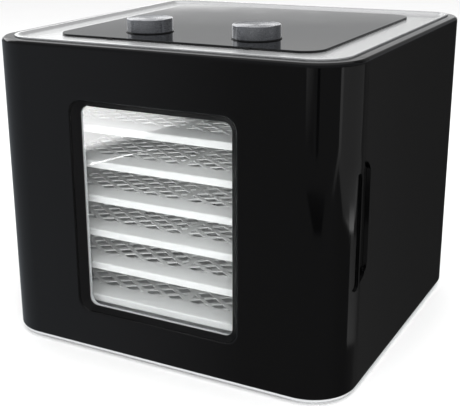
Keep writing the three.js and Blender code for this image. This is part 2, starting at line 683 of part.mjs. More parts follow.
function glassTab(side) {
  const x = side * TAB.x;
  const y = [GLASS.front - GAP - TAB.depth, GLASS.front - GAP];
  return box([x - TAB.halfWidth, x + TAB.halfWidth], y, [GLASS.bottom, GLASS.top - 0.4]);
}

function knobRing(side) {
  const z = [GLASS.top + GAP, GLASS.top + 1.2];
  const bore = upright(side * KNOB_X, KNOB_Y, 4, [z[0] - 1, z[1] + 1], 16);
  return cut(upright(side * KNOB_X, KNOB_Y, KNOB_RADIUS + 1, z, 28), bore);
}

// A turned knob with a small chamfer at its top edge and a blind bore for its shaft.
function knob(side) {
  const bottom = GLASS.top + 1.5;
  const bore = { radius: 3.3, top: SHAFT_TOP + GAP };
  const profile = [
    [0, bore.top], [bore.radius, bore.top], [bore.radius, bottom], [KNOB_RADIUS - 0.3, bottom],
    [KNOB_RADIUS, bottom + 0.3], [KNOB_RADIUS, KNOB_TOP - KNOB_CHAMFER],
    [KNOB_RADIUS - KNOB_CHAMFER, KNOB_TOP], [0, KNOB_TOP],
  ];
  const points = profile.map(([radius, z]) => new THREE.Vector2(radius, z));
  const geometry = new THREE.LatheGeometry(points, 32);
  geometry.rotateX(Math.PI / 2);
  geometry.translate(side * KNOB_X, KNOB_Y, 0);
  return solid(geometry);
}

function shaft(side) {
  const x = side * KNOB_X;
  const rod = upright(x, KNOB_Y, SHAFT_RADIUS, [264, SHAFT_TOP], 14);
  const flat = box([x + 2.2, x + 4], [KNOB_Y - 4, KNOB_Y + 4], [276, SHAFT_TOP + 1]);
  return cut(rod, flat);
}

// The switch body under each knob, with a socket in which the shaft turns.
function controlBody(side, half, bottom) {
  const x = side * KNOB_X;
  const z = [bottom, 268];
  const body = prism(roundedShape([x - half, x + half], [KNOB_Y - half, KNOB_Y + half], 3), z);
  const neck = upright(x, KNOB_Y, 5, [267, 275], 14);
  const socket = upright(x, KNOB_Y, 3.4, [263.7, 276], 14);
  return cut(joined(body, neck), socket);
}

function controlBracket() {
  const { halfWidth, y, z } = BRACKET_DECK;
  const gauge = z[1] - z[0];
  const deck = box([-halfWidth, halfWidth], y, z);
  const legs = [-1, 1].map((side) => {
    const x = side > 0 ? [halfWidth - gauge, halfWidth] : [-halfWidth, gauge - halfWidth];
    return box(x, y, [CAVITY_TOP + SHEET + GAP, z[1] - 0.8]);
  });
  return cut(joined(deck, ...legs), ...shaftHoles(5.5, [260, 280]));
}

function addControls() {
  place('top_panel', topPanel(), MATERIALS.silver);
  place('control_glass', controlGlass(), MATERIALS.darkGlass);
  place('glass_tab_left', glassTab(-1), MATERIALS.darkPlastic);
  place('glass_tab_right', glassTab(1), MATERIALS.darkPlastic);
  place('knob_ring_left', knobRing(-1), MATERIALS.darkPlastic);
  place('knob_ring_right', knobRing(1), MATERIALS.darkPlastic);
  place('timer_knob', knob(-1), MATERIALS.satinMetal);
  place('timer_shaft', shaft(-1), MATERIALS.steel);
  place('thermostat_knob', knob(1), MATERIALS.satinMetal);
  place('thermostat_shaft', shaft(1), MATERIALS.steel);
  place('timer_body', controlBody(-1, 22, 242), MATERIALS.darkPlastic);
  place('thermostat_body', controlBody(1, 16, 248), MATERIALS.cavityWhite);
  place('control_bracket', controlBracket(), MATERIALS.zincSteel);
}

// ---------- Fan and heater ----------

const BLADES = { count: 7, root: 12, thickness: 2, chord: 22, pitchDegrees: 38 };
const HEATER = { radius: 72, tubeRadius: 3.2, startDegrees: 290, sweepDegrees: 320 };
const MOTOR = { radius: 27, noseRadius: 7, y: [143, 160] };
const MOTOR_BRACKET = { halfWidth: 95, halfHeight: 14, y: [140.4, 141.9] };

function fanImpeller() {
  const y = [FAN_Y - 8, FAN_Y + 8];
  const hub = lying(0, FAN_Z, 15, y, 24);
  const blades = [];
  for (let i = 0; i < BLADES.count; i += 1) {
    const geometry = new THREE.BoxGeometry(FAN_RADIUS - BLADES.root, BLADES.thickness, BLADES.chord);
    geometry.rotateX(THREE.MathUtils.degToRad(BLADES.pitchDegrees));
    geometry.translate((FAN_RADIUS + BLADES.root) / 2, 0, 0);
    geometry.rotateY((i * 2 * Math.PI) / BLADES.count);
    geometry.translate(0, FAN_Y, FAN_Z);
    blades.push(solid(geometry));
  }
  const trimmed = joined(...blades).intersect(lying(0, FAN_Z, FAN_RADIUS, y, 28));
  const bore = lying(0, FAN_Z, 2.8, [y[0] - 1, y[1] + 1], 16);
  return cut(joined(hub, trimmed), bore);
}

// A tube bent round the fan, open over a short arc.
function heatingElement() {
  const start = THREE.MathUtils.degToRad(HEATER.startDegrees);
  const sweep = THREE.MathUtils.degToRad(HEATER.sweepDegrees);
  const path = new THREE.CatmullRomCurve3(Array.from({ length: 33 }, (_, i) => {
    const angle = start + (sweep * i) / 32;
    const along = HEATER.radius * Math.cos(angle);
    return new THREE.Vector3(along, FAN_Y, FAN_Z + HEATER.radius * Math.sin(angle));
  }));
  const section = new THREE.Shape().absarc(0, 0, HEATER.tubeRadius, 0, Math.PI * 2);
  const geometry = new THREE.ExtrudeGeometry(section, { steps: 28, extrudePath: path, curveSegments: 4 });
  return solid(geometry);
}

function fanMotor() {
  const can = lying(0, FAN_Z, MOTOR.radius, MOTOR.y, 32);
  const nose = lying(0, FAN_Z, MOTOR.noseRadius, [MOTOR.y[0] - 4, MOTOR.y[0] + 1], 20);
  const socket = lying(0, FAN_Z, 2.8, [MOTOR.y[0] - 5, MOTOR.y[0] + 7], 16);
  return cut(joined(can, nose), socket);
}

function motorBracket() {
  const { halfWidth, halfHeight, y } = MOTOR_BRACKET;
  const gauge = y[1] - y[0];
  const z = [FAN_Z - halfHeight, FAN_Z + halfHeight];
  const strap = box([-halfWidth, halfWidth], y, z);
  const legs = [-1, 1].map((side) => {
    const x = side > 0 ? [halfWidth - gauge, halfWidth] : [-halfWidth, gauge - halfWidth];
    return box(x, [CAVITY_REAR + SHEET + 2 * GAP, y[1] - 0.4], z);
  });
  const noseHole = lying(0, FAN_Z, MOTOR.noseRadius + 0.4, [y[0] - 2, y[1] + 3], 20);
  return cut(joined(strap, ...legs), noseHole);
}

function addFan() {
  place('fan_impeller', fanImpeller(), MATERIALS.motorBlack);
  place('fan_shaft', lying(0, FAN_Z, 2.5, [FAN_Y - 10, 149], 16), MATERIALS.steel);
  place('fan_motor', fanMotor(), MATERIALS.motorBlack);
  place('motor_bracket', motorBracket(), MATERIALS.zincSteel);
  place('heating_element', heatingElement(), MATERIALS.heater);
  place('thermal_cutout', lying(112, 205, 8, [114.6, 122], 20), MATERIALS.steel);
}

addDoor();
addSides();
addRear();
addBase();
addCavity();
addTrays();
addHinges();
addControls();
addFan();

export default group;
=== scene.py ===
"""A food dehydrator: gloss black rounded cabinet, full-front door with a window, six white mesh trays,
silver top panel with a dark control glass and two turned metal knobs.

Metres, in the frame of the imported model: +Z up, the door at -Y."""

import json
import math

import bmesh
import bpy
from mathutils import Matrix, Vector


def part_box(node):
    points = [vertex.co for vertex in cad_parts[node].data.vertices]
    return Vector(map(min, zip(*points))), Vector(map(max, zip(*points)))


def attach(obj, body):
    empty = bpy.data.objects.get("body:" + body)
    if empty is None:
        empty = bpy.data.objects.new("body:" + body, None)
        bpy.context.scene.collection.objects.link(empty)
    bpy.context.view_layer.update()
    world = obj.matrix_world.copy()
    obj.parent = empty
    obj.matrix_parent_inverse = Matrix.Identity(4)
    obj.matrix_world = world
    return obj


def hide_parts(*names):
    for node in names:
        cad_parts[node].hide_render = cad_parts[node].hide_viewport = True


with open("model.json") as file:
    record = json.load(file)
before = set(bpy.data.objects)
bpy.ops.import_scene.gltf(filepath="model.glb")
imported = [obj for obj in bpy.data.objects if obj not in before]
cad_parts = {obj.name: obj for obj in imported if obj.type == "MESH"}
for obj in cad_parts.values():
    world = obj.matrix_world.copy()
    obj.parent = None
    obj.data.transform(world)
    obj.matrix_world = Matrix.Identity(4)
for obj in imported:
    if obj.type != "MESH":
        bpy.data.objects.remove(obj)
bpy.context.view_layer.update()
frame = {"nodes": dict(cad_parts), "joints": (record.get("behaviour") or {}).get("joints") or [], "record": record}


MM = 0.001
GAP = 0.3 * MM
CORNER_STEPS = 24

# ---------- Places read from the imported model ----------

DOOR_LOW, DOOR_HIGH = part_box("door_panel")
COVER_LOW, COVER_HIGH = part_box("rear_cover")
TOP_LOW, TOP_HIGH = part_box("top_panel")
GLASS_LOW, GLASS_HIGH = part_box("control_glass")
PANE_LOW, PANE_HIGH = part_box("window_pane")
TRAY_LOW, TRAY_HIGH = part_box("tray_1")
BASE_LOW, BASE_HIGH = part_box("base_plate")

HALF_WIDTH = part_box("side_shell_right")[1].x
HALF_DEPTH = COVER_HIGH.y
FRONT = DOOR_LOW.y
SHELL_BOTTOM = DOOR_LOW.z
SHELL_TOP = DOOR_HIGH.z
SEAM_Y = DOOR_HIGH.y

JOINTS = {joint["name"]: joint for joint in frame["joints"]}
HINGE = Vector(JOINTS["door_hinge"]["pos_m"])
FAN_AXIS = Vector(JOINTS["fan_spin"]["pos_m"])

# ---------- Shape sizes ----------

CORNER_RADIUS = 40 * MM
WALL = 3 * MM
RIM_WIDTH = 11.7 * MM
RIM_THICKNESS = 4 * MM
RIM_REAR_RADIUS = 18.3 * MM
TOP_ROUND = (2.6 * MM, 3.6 * MM)  # inward, upward
BOTTOM_ROUND = 0.8 * MM
HINGE_EDGE_RADIUS = 5 * MM
COVER_HALF = 130 * MM
PANEL_THICKNESS = 1.2 * MM
SHAFT_HOLE_RADIUS = 5 * MM

WINDOW_OUTER = {"x": 79.5 * MM, "z": (40.5 * MM, 235 * MM), "radius": 12 * MM}
WINDOW_INNER = {"x": 73 * MM, "z": (44 * MM, 229.5 * MM), "radius": 8 * MM}
WINDOW_DEPTH = 7 * MM

TRAY_RIM = 24 * MM
MESH_PITCH = (23 * MM, 17 * MM)
MESH_HOLE = 0.74  # a hole's share of its diamond cell
MESH_THICKNESS = 1.1 * MM

GROOVE = {"y": (-138.5 * MM, -128.7 * MM), "z": (95.5 * MM, 193.5 * MM), "depth": 1.8 * MM}
GRIP = {"x": 160 * MM, "z": (100 * MM, 196 * MM), "depth": 1.4 * MM}
SCOOP = {"z": (101 * MM, 201 * MM), "reach": 15 * MM, "depth": 10 * MM}

SCREW_TAB = {"half": 8 * MM, "x": 141 * MM, "y": (HALF_DEPTH - 6.6 * MM, HALF_DEPTH - 3.3 * MM)}
SCREW_HOLE_RADIUS = 2.1 * MM
SCREW_SINK = {"radius": 3.9 * MM, "depth": 2 * MM}
GRILLE = {"radius": 54 * MM, "pitch": 11 * MM, "rows": 9}
VENTS = {"count": 8, "start": 26 * MM, "pitch": 9 * MM, "z": (30 * MM, 54 * MM)}
SLOT_HALF = 2 * MM

# Spans that a cutting tool needs to pass right through a wall.
FULL_HEIGHT = (SHELL_BOTTOM - MM, SHELL_TOP + MM)
PAST_HEIGHT = (SHELL_BOTTOM - 2 * MM, SHELL_TOP + 2 * MM)
THROUGH_TOP = (TOP_LOW.z - 5 * MM, TOP_HIGH.z + 5 * MM)
THROUGH_REAR = (HALF_DEPTH - 16 * MM, HALF_DEPTH + 4 * MM)
SIDE_CUT = (-20 * MM, 20 * MM)


# ---------- Mesh tools ----------

def as_object(name, mesh):
    """A new object in the scene from a bmesh."""
    data = bpy.data.meshes.new(name)
    mesh.to_mesh(data)
    mesh.free()
    obj = bpy.data.objects.new(name, data)
    bpy.context.scene.collection.objects.link(obj)
    return obj


def rounded(x, y, low, high=None, steps=CORNER_STEPS):
    """A rectangle's outline, anticlockwise, with a radius for its low corners and one for its high ones."""
    high = low if high is None else high
    corners = [
        (x[1] - low, y[0] + low, low, -90),
        (x[1] - high, y[1] - high, high, 0),
        (x[0] + high, y[1] - high, high, 90),
        (x[0] + low, y[0] + low, low, 180),
    ]
    points = []
    for centre_x, centre_y, radius, start in corners:
        for i in range(steps + 1):
            angle = math.radians(start + 90 * i / steps)
            points.append((centre_x + radius * math.cos(angle), centre_y + radius * math.sin(angle)))
    return points


def inset_outline(low, high, inset, radius, steps=CORNER_STEPS):
    """The outline of a box from above, drawn in by a distance, with one corner radius."""
    return rounded((low.x + inset, high.x - inset), (low.y + inset, high.y - inset), radius, steps=steps)


def loft(name, rings, axis="Z"):
    """A closed skin through outlines of equal length. An outline lies in XY, or in XZ when axis is Y."""
    mesh = bmesh.new()
    layers = []
    for points, level in rings:
        if axis == "Z":
            layers.append([mesh.verts.new((u, v, level)) for u, v in points])
        else:
            layers.append([mesh.verts.new((u, level, v)) for u, v in points])
    for below, above in zip(layers, layers[1:]):
        for i in range(len(below)):
            j = (i + 1) % len(below)
            mesh.faces.new((below[i], below[j], above[j], above[i]))
    mesh.faces.new(list(reversed(layers[0])))
    mesh.faces.new(layers[-1])
    bmesh.ops.recalc_face_normals(mesh, faces=mesh.faces)
    return as_object(name, mesh)


def prism(name, outline, span, axis="Z"):
    """A straight solid with one outline all the way along its span."""
    return loft(name, [(outline, level) for level in span], axis)


def block(name, x, y, z):
    """A plain box, used for cutting and joining."""
    return prism(name, [(x[0], y[0]), (x[1], y[0]), (x[1], y[1]), (x[0], y[1])], z)


def disc(name, centre, radius, span, axis="Z", steps=32):
    """A plain disc, used for cutting and joining. centre is in the plane across the axis."""
    ring = []
    for i in range(steps):
        angle = 2 * math.pi * i / steps
        ring.append((centre[0] + radius * math.cos(angle), centre[1] + radius * math.sin(angle)))
    return prism(name, ring, span, axis)


def lathe(name, profile, centre, axis="Z", steps=64):
    """A turned solid. The profile is (radius, height) from axis to axis, or closes on itself."""
    closed = profile[0] == profile[-1]
    mesh = bmesh.new()
    rings = []
    for radius, height in profile[:-1] if closed else profile:
        ring = []
        for i in range(steps if radius > 0 else 1):
            angle = 2 * math.pi * i / steps
            u, v = radius * math.cos(angle), radius * math.sin(angle)
            ring.append(mesh.verts.new((u, v, height) if axis == "Z" else (u, height, v)))
        rings.append(ring)
    for below, above in zip(rings, rings[1:] + (rings[:1] if closed else [])):
        for i in range(steps):
            j = (i + 1) % steps
            corners = (below[i % len(below)], below[j % len(below)],
                       above[j % len(above)], above[i % len(above)])
            face = list(dict.fromkeys(corners))
            if len(face) > 2:
                mesh.faces.new(face)
    bmesh.ops.recalc_face_normals(mesh, faces=mesh.faces)
    bmesh.ops.translate(mesh, verts=mesh.verts, vec=centre)
    return as_object(name, mesh)


def settle(obj):
    """Applies every modifier."""
    depsgraph = bpy.context.evaluated_depsgraph_get()
    mesh = bpy.data.meshes.new_from_object(obj.evaluated_get(depsgraph))
    old = obj.data
    obj.modifiers.clear()
    obj.data = mesh
    bpy.data.meshes.remove(old)
    return obj


def combine(obj, tools, operation):
    """Cuts the tools from obj, joins them to it, or keeps what they share."""
    for tool in tools:
        modifier = obj.modifiers.new("combine", "BOOLEAN")
        modifier.operation = operation
        modifier.solver = "EXACT"
        modifier.object = tool
        settle(obj)
        bpy.data.objects.remove(tool)
    return obj


def cut(obj, *tools):
    return combine(obj, tools, "DIFFERENCE")


def join(obj, *tools):
    return combine(obj, tools, "UNION")


def keep(obj, *tools):
    return combine(obj, tools, "INTERSECT")


def copy_of(obj, name):
    twin = bpy.data.objects.new(name, obj.data.copy())
    bpy.context.scene.collection.objects.link(twin)
    return twin


def dress(obj, edge=0.0, segments=2, angle=35):
    """Rounds the hard edges, and shades flats flat and curves smooth."""
    if edge:
        bevel = obj.modifiers.new("edge", "BEVEL")
        bevel.width = edge
        bevel.segments = segments
        bevel.limit_method = "ANGLE"
        bevel.angle_limit = math.radians(40)
        bevel.use_clamp_overlap = True
        settle(obj)
    obj.data.shade_smooth()
    obj.data.set_sharp_from_angle(angle=math.radians(angle))
    weighted = obj.modifiers.new("normals", "WEIGHTED_NORMAL")
    weighted.keep_sharp = True
    return settle(obj)


def present(obj, material, slot, body, *nodes):
    """Gives a piece its material, the body it rides on and the CAD nodes it stands for."""
    obj.data.materials.clear()
    obj.data.materials.append(material)
    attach(obj, body)
    if nodes:
        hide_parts(*nodes)
    return obj


def quarter(inward, upward, steps=6):
    """Points (inset, rise) round a quarter of an ellipse, from the wall to the flat."""
    angles = [math.pi / 2 * i / steps for i in range(steps + 1)]
    return [(inward * (1 - math.cos(angle)), upward * math.sin(angle)) for angle in angles]


# ---------- Materials ----------

def new_material(name):
    material = bpy.data.materials.new(name)
    material.use_nodes = True
    nodes = material.node_tree.nodes
    shader = nodes.get("Principled BSDF")
    return material, nodes, material.node_tree.links, shader


def place_coordinates(nodes, links, stretch=(1, 1, 1)):
    """Object coordinates, scaled along each axis."""
    source = nodes.new("ShaderNodeTexCoord")
    mapping = nodes.new("ShaderNodeMapping")
    mapping.inputs["Scale"].default_value = stretch
    links.new(source.outputs["Object"], mapping.inputs["Vector"])
    return mapping.outputs["Vector"]


def noise(nodes, links, vector, scale, detail=3.0, roughness=0.5):
    texture = nodes.new("ShaderNodeTexNoise")
    texture.inputs["Scale"].default_value = scale
    texture.inputs["Detail"].default_value = detail
    texture.inputs["Roughness"].default_value = roughness
    links.new(vector, texture.inputs["Vector"])
    return texture.outputs["Fac"]


def ranged(nodes, links, value, low, high, start=0.3, end=0.7):
    """Maps a noise value to a range."""
    mapping = nodes.new("ShaderNodeMapRange")
    mapping.inputs["From Min"].default_value = start
    mapping.inputs["From Max"].default_value = end
    mapping.inputs["To Min"].default_value = low
    mapping.inputs["To Max"].default_value = high
    links.new(value, mapping.inputs["Value"])
    return mapping.outputs["Result"]


def tinted(nodes, links, value, first, second):
    """A colour between two, by a value from 0 to 1."""
    mix = nodes.new("ShaderNodeMix")
    mix.data_type = "RGBA"
    mix.inputs["A"].default_value = (*first, 1)
    mix.inputs["B"].default_value = (*second, 1)
    links.new(value, mix.inputs["Factor"])
    return mix.outputs["Result"]


def uneven_color(nodes, links, shader, value, color, variation):
    """A base colour that darkens here and there by a share."""
    darker = tuple(channel * (1 - variation) for channel in color)
    links.new(tinted(nodes, links, value, darker, color), shader.inputs["Base Color"])


def bumped(nodes, links, shader, value, strength, distance):
    bump = nodes.new("ShaderNodeBump")
    bump.inputs["Strength"].default_value = strength
    bump.inputs["Distance"].default_value = distance
    links.new(value, bump.inputs["Height"])
    links.new(bump.outputs["Normal"], shader.inputs["Normal"])


def moulded(name, color, rough, grain=900, depth=0.00004, variation=0.06, specular=0.5, metallic=0.0):
    """Injection-moulded plastic: a fine grain, slight gloss changes and slight colour changes."""
    material, nodes, links, shader = new_material(name)
    vector = place_coordinates(nodes, links)
    broad = noise(nodes, links, vector, 18, 2)
    fine = noise(nodes, links, vector, grain, 4)
    uneven_color(nodes, links, shader, broad, color, variation)
    gloss = ranged(nodes, links, fine, rough * 0.85, rough * 1.15)
    links.new(gloss, shader.inputs["Roughness"])
    shader.inputs["Specular IOR Level"].default_value = specular
    shader.inputs["Metallic"].default_value = metallic
    bumped(nodes, links, shader, fine, 0.25, depth)
    return material


def gloss_black():
    """High-gloss moulding: a nearly perfect surface with a faint ripple and a few dull patches."""
    material, nodes, links, shader = new_material("gloss_black_shell")
    vector = place_coordinates(nodes, links)
    ripple = noise(nodes, links, vector, 38, 1.5, 0.4)
    fine = noise(nodes, links, vector, 700, 3)
    broad = noise(nodes, links, vector, 9, 3)
    links.new(tinted(nodes, links, broad, (0.0008, 0.0008, 0.0009), (0.0011, 0.0011, 0.0012)),
              shader.inputs["Base Color"])
    links.new(ranged(nodes, links, fine, 0.045, 0.075), shader.inputs["Roughness"])
    shader.inputs["IOR"].default_value = 1.5
    bumped(nodes, links, shader, ripple, 0.05, 0.0004)
    return material


def brushed(name, color, rough, grain=(4, 900, 900), strength=0.12, anisotropic=0.4, variation=0.05,
            spread=0.2, metallic=1.0):
    """Metal with a brushed grain. The grain's scale along each axis sets which way its lines run."""
    material, nodes, links, shader = new_material(name)
    vector = place_coordinates(nodes, links, grain)
    lines = noise(nodes, links, vector, 1.0, 4, 0.6)
    patches = noise(nodes, links, place_coordinates(nodes, links), 14, 2)
    uneven_color(nodes, links, shader, patches, color, variation)
    gloss = ranged(nodes, links, lines, rough * (1 - spread), rough * (1 + spread))
    links.new(gloss, shader.inputs["Roughness"])
    shader.inputs["Metallic"].default_value = metallic
    shader.inputs["Anisotropic"].default_value = anisotropic
    bumped(nodes, links, shader, lines, strength, 0.00005)
    return material


def control_glass_material():
    """Toughened glass, dark behind, with a very faint film of dust."""
    material, nodes, links, shader = new_material("dark_control_glass")
    vector = place_coordinates(nodes, links)
    film = noise(nodes, links, vector, 26, 5, 0.6)
    links.new(tinted(nodes, links, film, (0.0015, 0.0016, 0.0018), (0.0024, 0.0025, 0.0028)),
              shader.inputs["Base Color"])
    links.new(ranged(nodes, links, film, 0.02, 0.05), shader.inputs["Roughness"])
    shader.inputs["IOR"].default_value = 1.5
    return material


def window_glass_material():
    """Clear pane: mostly see-through, with the reflection of glass."""
    material, nodes, links, shader = new_material("clear_window")
    vector = place_coordinates(nodes, links)
    film = noise(nodes, links, vector, 20, 4, 0.6)
    links.new(ranged(nodes, links, film, 0.0, 0.012), shader.inputs["Roughness"])
    shader.inputs["Base Color"].default_value = (0.97, 0.985, 0.985, 1)
    shader.inputs["Transmission Weight"].default_value = 1.0
    shader.inputs["IOR"].default_value = 1.46
    return material


def turned_metal(name, color, rough):
    """Spun metal: fine rings round the knob's axis and a stretched highlight."""
    material, nodes, links, shader = new_material(name)
    vector = place_coordinates(nodes, links, (300, 300, 6000))
    fine = noise(nodes, links, vector, 1.0, 2, 0.5)
    patches = noise(nodes, links, place_coordinates(nodes, links), 60, 2)
    uneven_color(nodes, links, shader, patches, color, 0.1)
    links.new(ranged(nodes, links, fine, rough * 0.8, rough * 1.2), shader.inputs["Roughness"])
    shader.inputs["Metallic"].default_value = 1.0
    shader.inputs["Anisotropic"].default_value = 0.85
    shader.inputs["Anisotropic Rotation"].default_value = 0.25
    tangent = nodes.new("ShaderNodeTangent")
    tangent.direction_type = "RADIAL"
    tangent.axis = "Z"
    links.new(tangent.outputs["Tangent"], shader.inputs["Tangent"])
    bumped(nodes, links, shader, fine, 0.03, 0.00001)
    return material


BLACK = gloss_black()
SILVER = brushed("satin_silver", (0.74, 0.745, 0.75), 0.24, (3, 500, 500), 0.004, 0.2, 0.02, 0.06, 0.75)
CONTROL_GLASS = control_glass_material()
CLEAR = window_glass_material()
KNOB_METAL = turned_metal("turned_knob_metal", (0.48, 0.49, 0.515), 0.30)
DARK_PLASTIC = moulded("dark_satin_plastic", (0.006, 0.006, 0.0065), 0.42, specular=0.35)
TRAY_WHITE = moulded("white_tray_plastic", (0.84, 0.845, 0.84), 0.38, 700, 0.00005, 0.03)
LINER_WHITE = moulded("pale_liner_plastic", (0.70, 0.715, 0.72), 0.42, 500, 0.00006, 0.05)
BASE_GREY = moulded("pale_base_plastic", (0.62, 0.63, 0.64), 0.55, 400, 0.00008, 0.05)
STEEL = brushed("brushed_steel_parts", (0.55, 0.56, 0.58), 0.34)
ZINC = moulded("zinc_plated_steel", (0.66, 0.66, 0.65), 0.3, 300, 0.00003, 0.12, metallic=1.0)
GASKET = moulded("grey_silicone", (0.30, 0.31, 0.32), 0.7, 900, 0.00006, 0.08)
RECESS_BLACK = moulded("satin_recess_black", (0.006, 0.006, 0.0063), 0.35, 900, 0.00002, 0.06, 0.04)
MOTOR_BLACK = moulded("black_painted_metal", (0.022, 0.022, 0.025), 0.45, 350, 0.00008, 0.2)
HEATER = brushed("heat_darkened_steel", (0.20, 0.17, 0.15), 0.42, (300, 300, 300), 0.3, 0.0, 0.35)
TRIM = moulded("pale_window_bead", (0.27, 0.272, 0.275), 0.3, 600, 0.00002, 0.03)

SLOT_MATERIALS = {
    "black_gloss": BLACK, "silver_top": SILVER, "control_glass": CONTROL_GLASS, "window_glass": CLEAR,
    "knob_metal": KNOB_METAL, "dark_plastic": DARK_PLASTIC, "tray_white": TRAY_WHITE,
    "liner_white": LINER_WHITE, "base_grey": BASE_GREY, "steel": STEEL, "zinc": ZINC,
    "gasket": GASKET, "motor_black": MOTOR_BLACK, "heater_steel": HEATER,
}


def paint_cad_nodes():
    """Every CAD node gets the material of its slot."""
    for part in frame["record"]["subparts"]:
        node = frame["nodes"][part["node"]]
        node.data.materials.clear()
        node.data.materials.append(SLOT_MATERIALS[part["material_slot"]])


# ---------- Black cabinet ----------

def plan(inset, rear=None):
    """The cabinet's outline in plan, drawn in by a distance."""
    x = (inset - HALF_WIDTH, HALF_WIDTH - inset)
    y = (inset - HALF_DEPTH, HALF_DEPTH - inset)
    front = CORNER_RADIUS - inset
    return rounded(x, y, front, front if rear is None else rear)


def rim_plan(inset):
    """The outline of the opening inside the rim, and of what follows it."""
    return plan(inset, RIM_REAR_RADIUS + RIM_WIDTH - inset)


def window_outline(size, grow=0.0):
    x = (-size["x"] - grow, size["x"] + grow)
    z = (size["z"][0] - grow, size["z"][1] + grow)
    return rounded(x, z, size["radius"] + grow, steps=12)


def skin():
    """The whole black skin, with a soft top edge and a finer bottom edge."""
    foot = [(plan(inset), SHELL_BOTTOM + BOTTOM_ROUND - rise)
            for inset, rise in reversed(quarter(BOTTOM_ROUND, BOTTOM_ROUND, 3))]
    crown = [(plan(inset), SHELL_TOP - TOP_ROUND[1] + rise) for inset, rise in quarter(*TOP_ROUND, 8)]
    body = loft("skin", foot + crown)
    hollow = prism("hollow", plan(WALL), (SHELL_BOTTOM + WALL, SHELL_TOP - RIM_THICKNESS))
    opening = prism("opening", rim_plan(RIM_WIDTH), FULL_HEIGHT)
    return cut(body, hollow, opening)


def window_funnel(inset=0.0):
    """The recess in front of the pane: a soft outer edge, sloping walls and a soft inner edge."""
    edge = 1.3 * MM
    rings = [(window_outline(WINDOW_OUTER, edge - inset), FRONT - MM)]
    for inward, rise in reversed(quarter(edge, edge, 5)):
        rings.append((window_outline(WINDOW_OUTER, inward - inset), FRONT + edge - rise))
    seat = FRONT + WINDOW_DEPTH
    rings.append((window_outline(WINDOW_INNER, 0.5 * MM - inset), seat - 0.5 * MM))
    rings.append((window_outline(WINDOW_INNER, 0.12 * MM - inset), seat - 0.1 * MM))
    rings.append((window_outline(WINDOW_INNER, -inset), seat + 0.4 * MM))
    rings.append((window_outline(WINDOW_INNER, -inset), seat + 3 * MM))
    return loft("funnel", rings, "Y")


def window_surround():
    """The thin satin trim that lines the recess."""
    margin = 15 * MM
    low, high = WINDOW_OUTER["z"]
    half = WINDOW_OUTER["x"] + margin
    span = (FRONT + 1.5 * MM, FRONT + WINDOW_DEPTH + 0.05 * MM)
    zone = block("window_surround", (-half, half), span, (low - margin, high + margin))
    lining = keep(zone, window_funnel(0.05 * MM))
    cut(lining, window_funnel(0.55 * MM))
    dress(lining, 0.1 * MM)
    present(lining, RECESS_BLACK, "dark_plastic", "door")


def door_zone():
    """What belongs to the door: the front and its side returns, rounded about the hinge."""
    front = block("front", (-HALF_WIDTH - MM, HALF_WIDTH + MM), (FRONT - MM, HINGE.y), FULL_HEIGHT)
    returns = block("returns", (HINGE.x, HALF_WIDTH + MM), (HINGE.y - MM, SEAM_Y), FULL_HEIGHT)
    rolled = disc("rolled", HINGE.xy, HINGE_EDGE_RADIUS, FULL_HEIGHT, steps=48)
    return join(front, returns, rolled)


def hinge_work(door):
    """The pin lugs at top and bottom, and the pockets in which the bracket arms lie."""
    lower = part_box("hinge_bracket_lower")
    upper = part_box("hinge_bracket_upper")
    arm = 2 * MM
    arms = [(lower[0].z, lower[0].z + arm), (upper[1].z - arm, upper[1].z)]
    for low, high in arms:
        for span in ((low - 8 * MM, low - 2 * MM), (high + 2 * MM, high + 6 * MM)):
            join(door, disc("lug", HINGE.xy, HINGE_EDGE_RADIUS, span, steps=48))
    for low, high in arms:
        span = (low - 2 * MM, high + 2 * MM)
        slot = block("slot", (-HALF_WIDTH - MM, HINGE.x), (HINGE.y, HINGE.y + 6 * MM), span)
        cut(door, disc("swing", HINGE.xy, 3.8 * MM, span), slot)
    for pin in ("hinge_pin_lower", "hinge_pin_upper"):
        low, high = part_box(pin)
        cut(door, disc("bore", HINGE.xy, 1.45 * MM, (low.z - GAP / 2, high.z + GAP / 2), steps=20))
    return door


def side_slot(name, half, z, round_off, steps, x, y):
    """A round-ended cutter that reaches through the side wall. half is half its width along Y."""
    slot = prism(name, rounded((-half, half), z, half - round_off, steps=steps), SIDE_CUT, "Y")
    slot.data.transform(Matrix.Rotation(math.pi / 2, 4, "Z"))
    slot.data.transform(Matrix.Translation((x, y, 0)))
    return slot


def pull_groove():
    """The shallow groove in the door's side return, which leaves a fin to pull behind it."""
    half = (GROOVE["y"][1] - GROOVE["y"][0]) / 2
    slot = side_slot("groove", half, GROOVE["z"], 0.1 * MM, 12, HALF_WIDTH, GROOVE["y"][0] + half)
    centre = (HALF_WIDTH - CORNER_RADIUS, CORNER_RADIUS - HALF_DEPTH)
    span = (GROOVE["z"][0] - 15 * MM, GROOVE["z"][1] + 15 * MM)
    core = disc("core", centre, CORNER_RADIUS - GROOVE["depth"], span, steps=192)
    return cut(slot, core)


def door_shell(whole):
    """The door's black front and side returns, with the window's recess, the grip and the groove."""
    door = keep(copy_of(whole, "door_shell"), door_zone())
    boss_outline = window_outline(WINDOW_OUTER, 3 * MM)
    boss_span = (FRONT + WALL - 0.5 * MM, FRONT + WINDOW_DEPTH + MM)
    join(door, prism("boss", boss_outline, boss_span, "Y"))
    corner = block("corner", (HINGE.x + 2 * MM, HINGE.x + 9 * MM), (HINGE.y, HINGE.y + 6 * MM), FULL_HEIGHT)
    trim = cut(corner, disc("sweep", HINGE.xy, 7.6 * MM, PAST_HEIGHT, steps=64))
    grip = block("grip", (GRIP["x"], HALF_WIDTH + MM), (SEAM_Y - GRIP["depth"], SEAM_Y + MM), GRIP["z"])
    cut(door, window_funnel(), trim, grip, pull_groove())
    hinge_work(door)
    dress(door, 0.35 * MM)
    return present(door, BLACK, "black_gloss", "door", "door_panel")


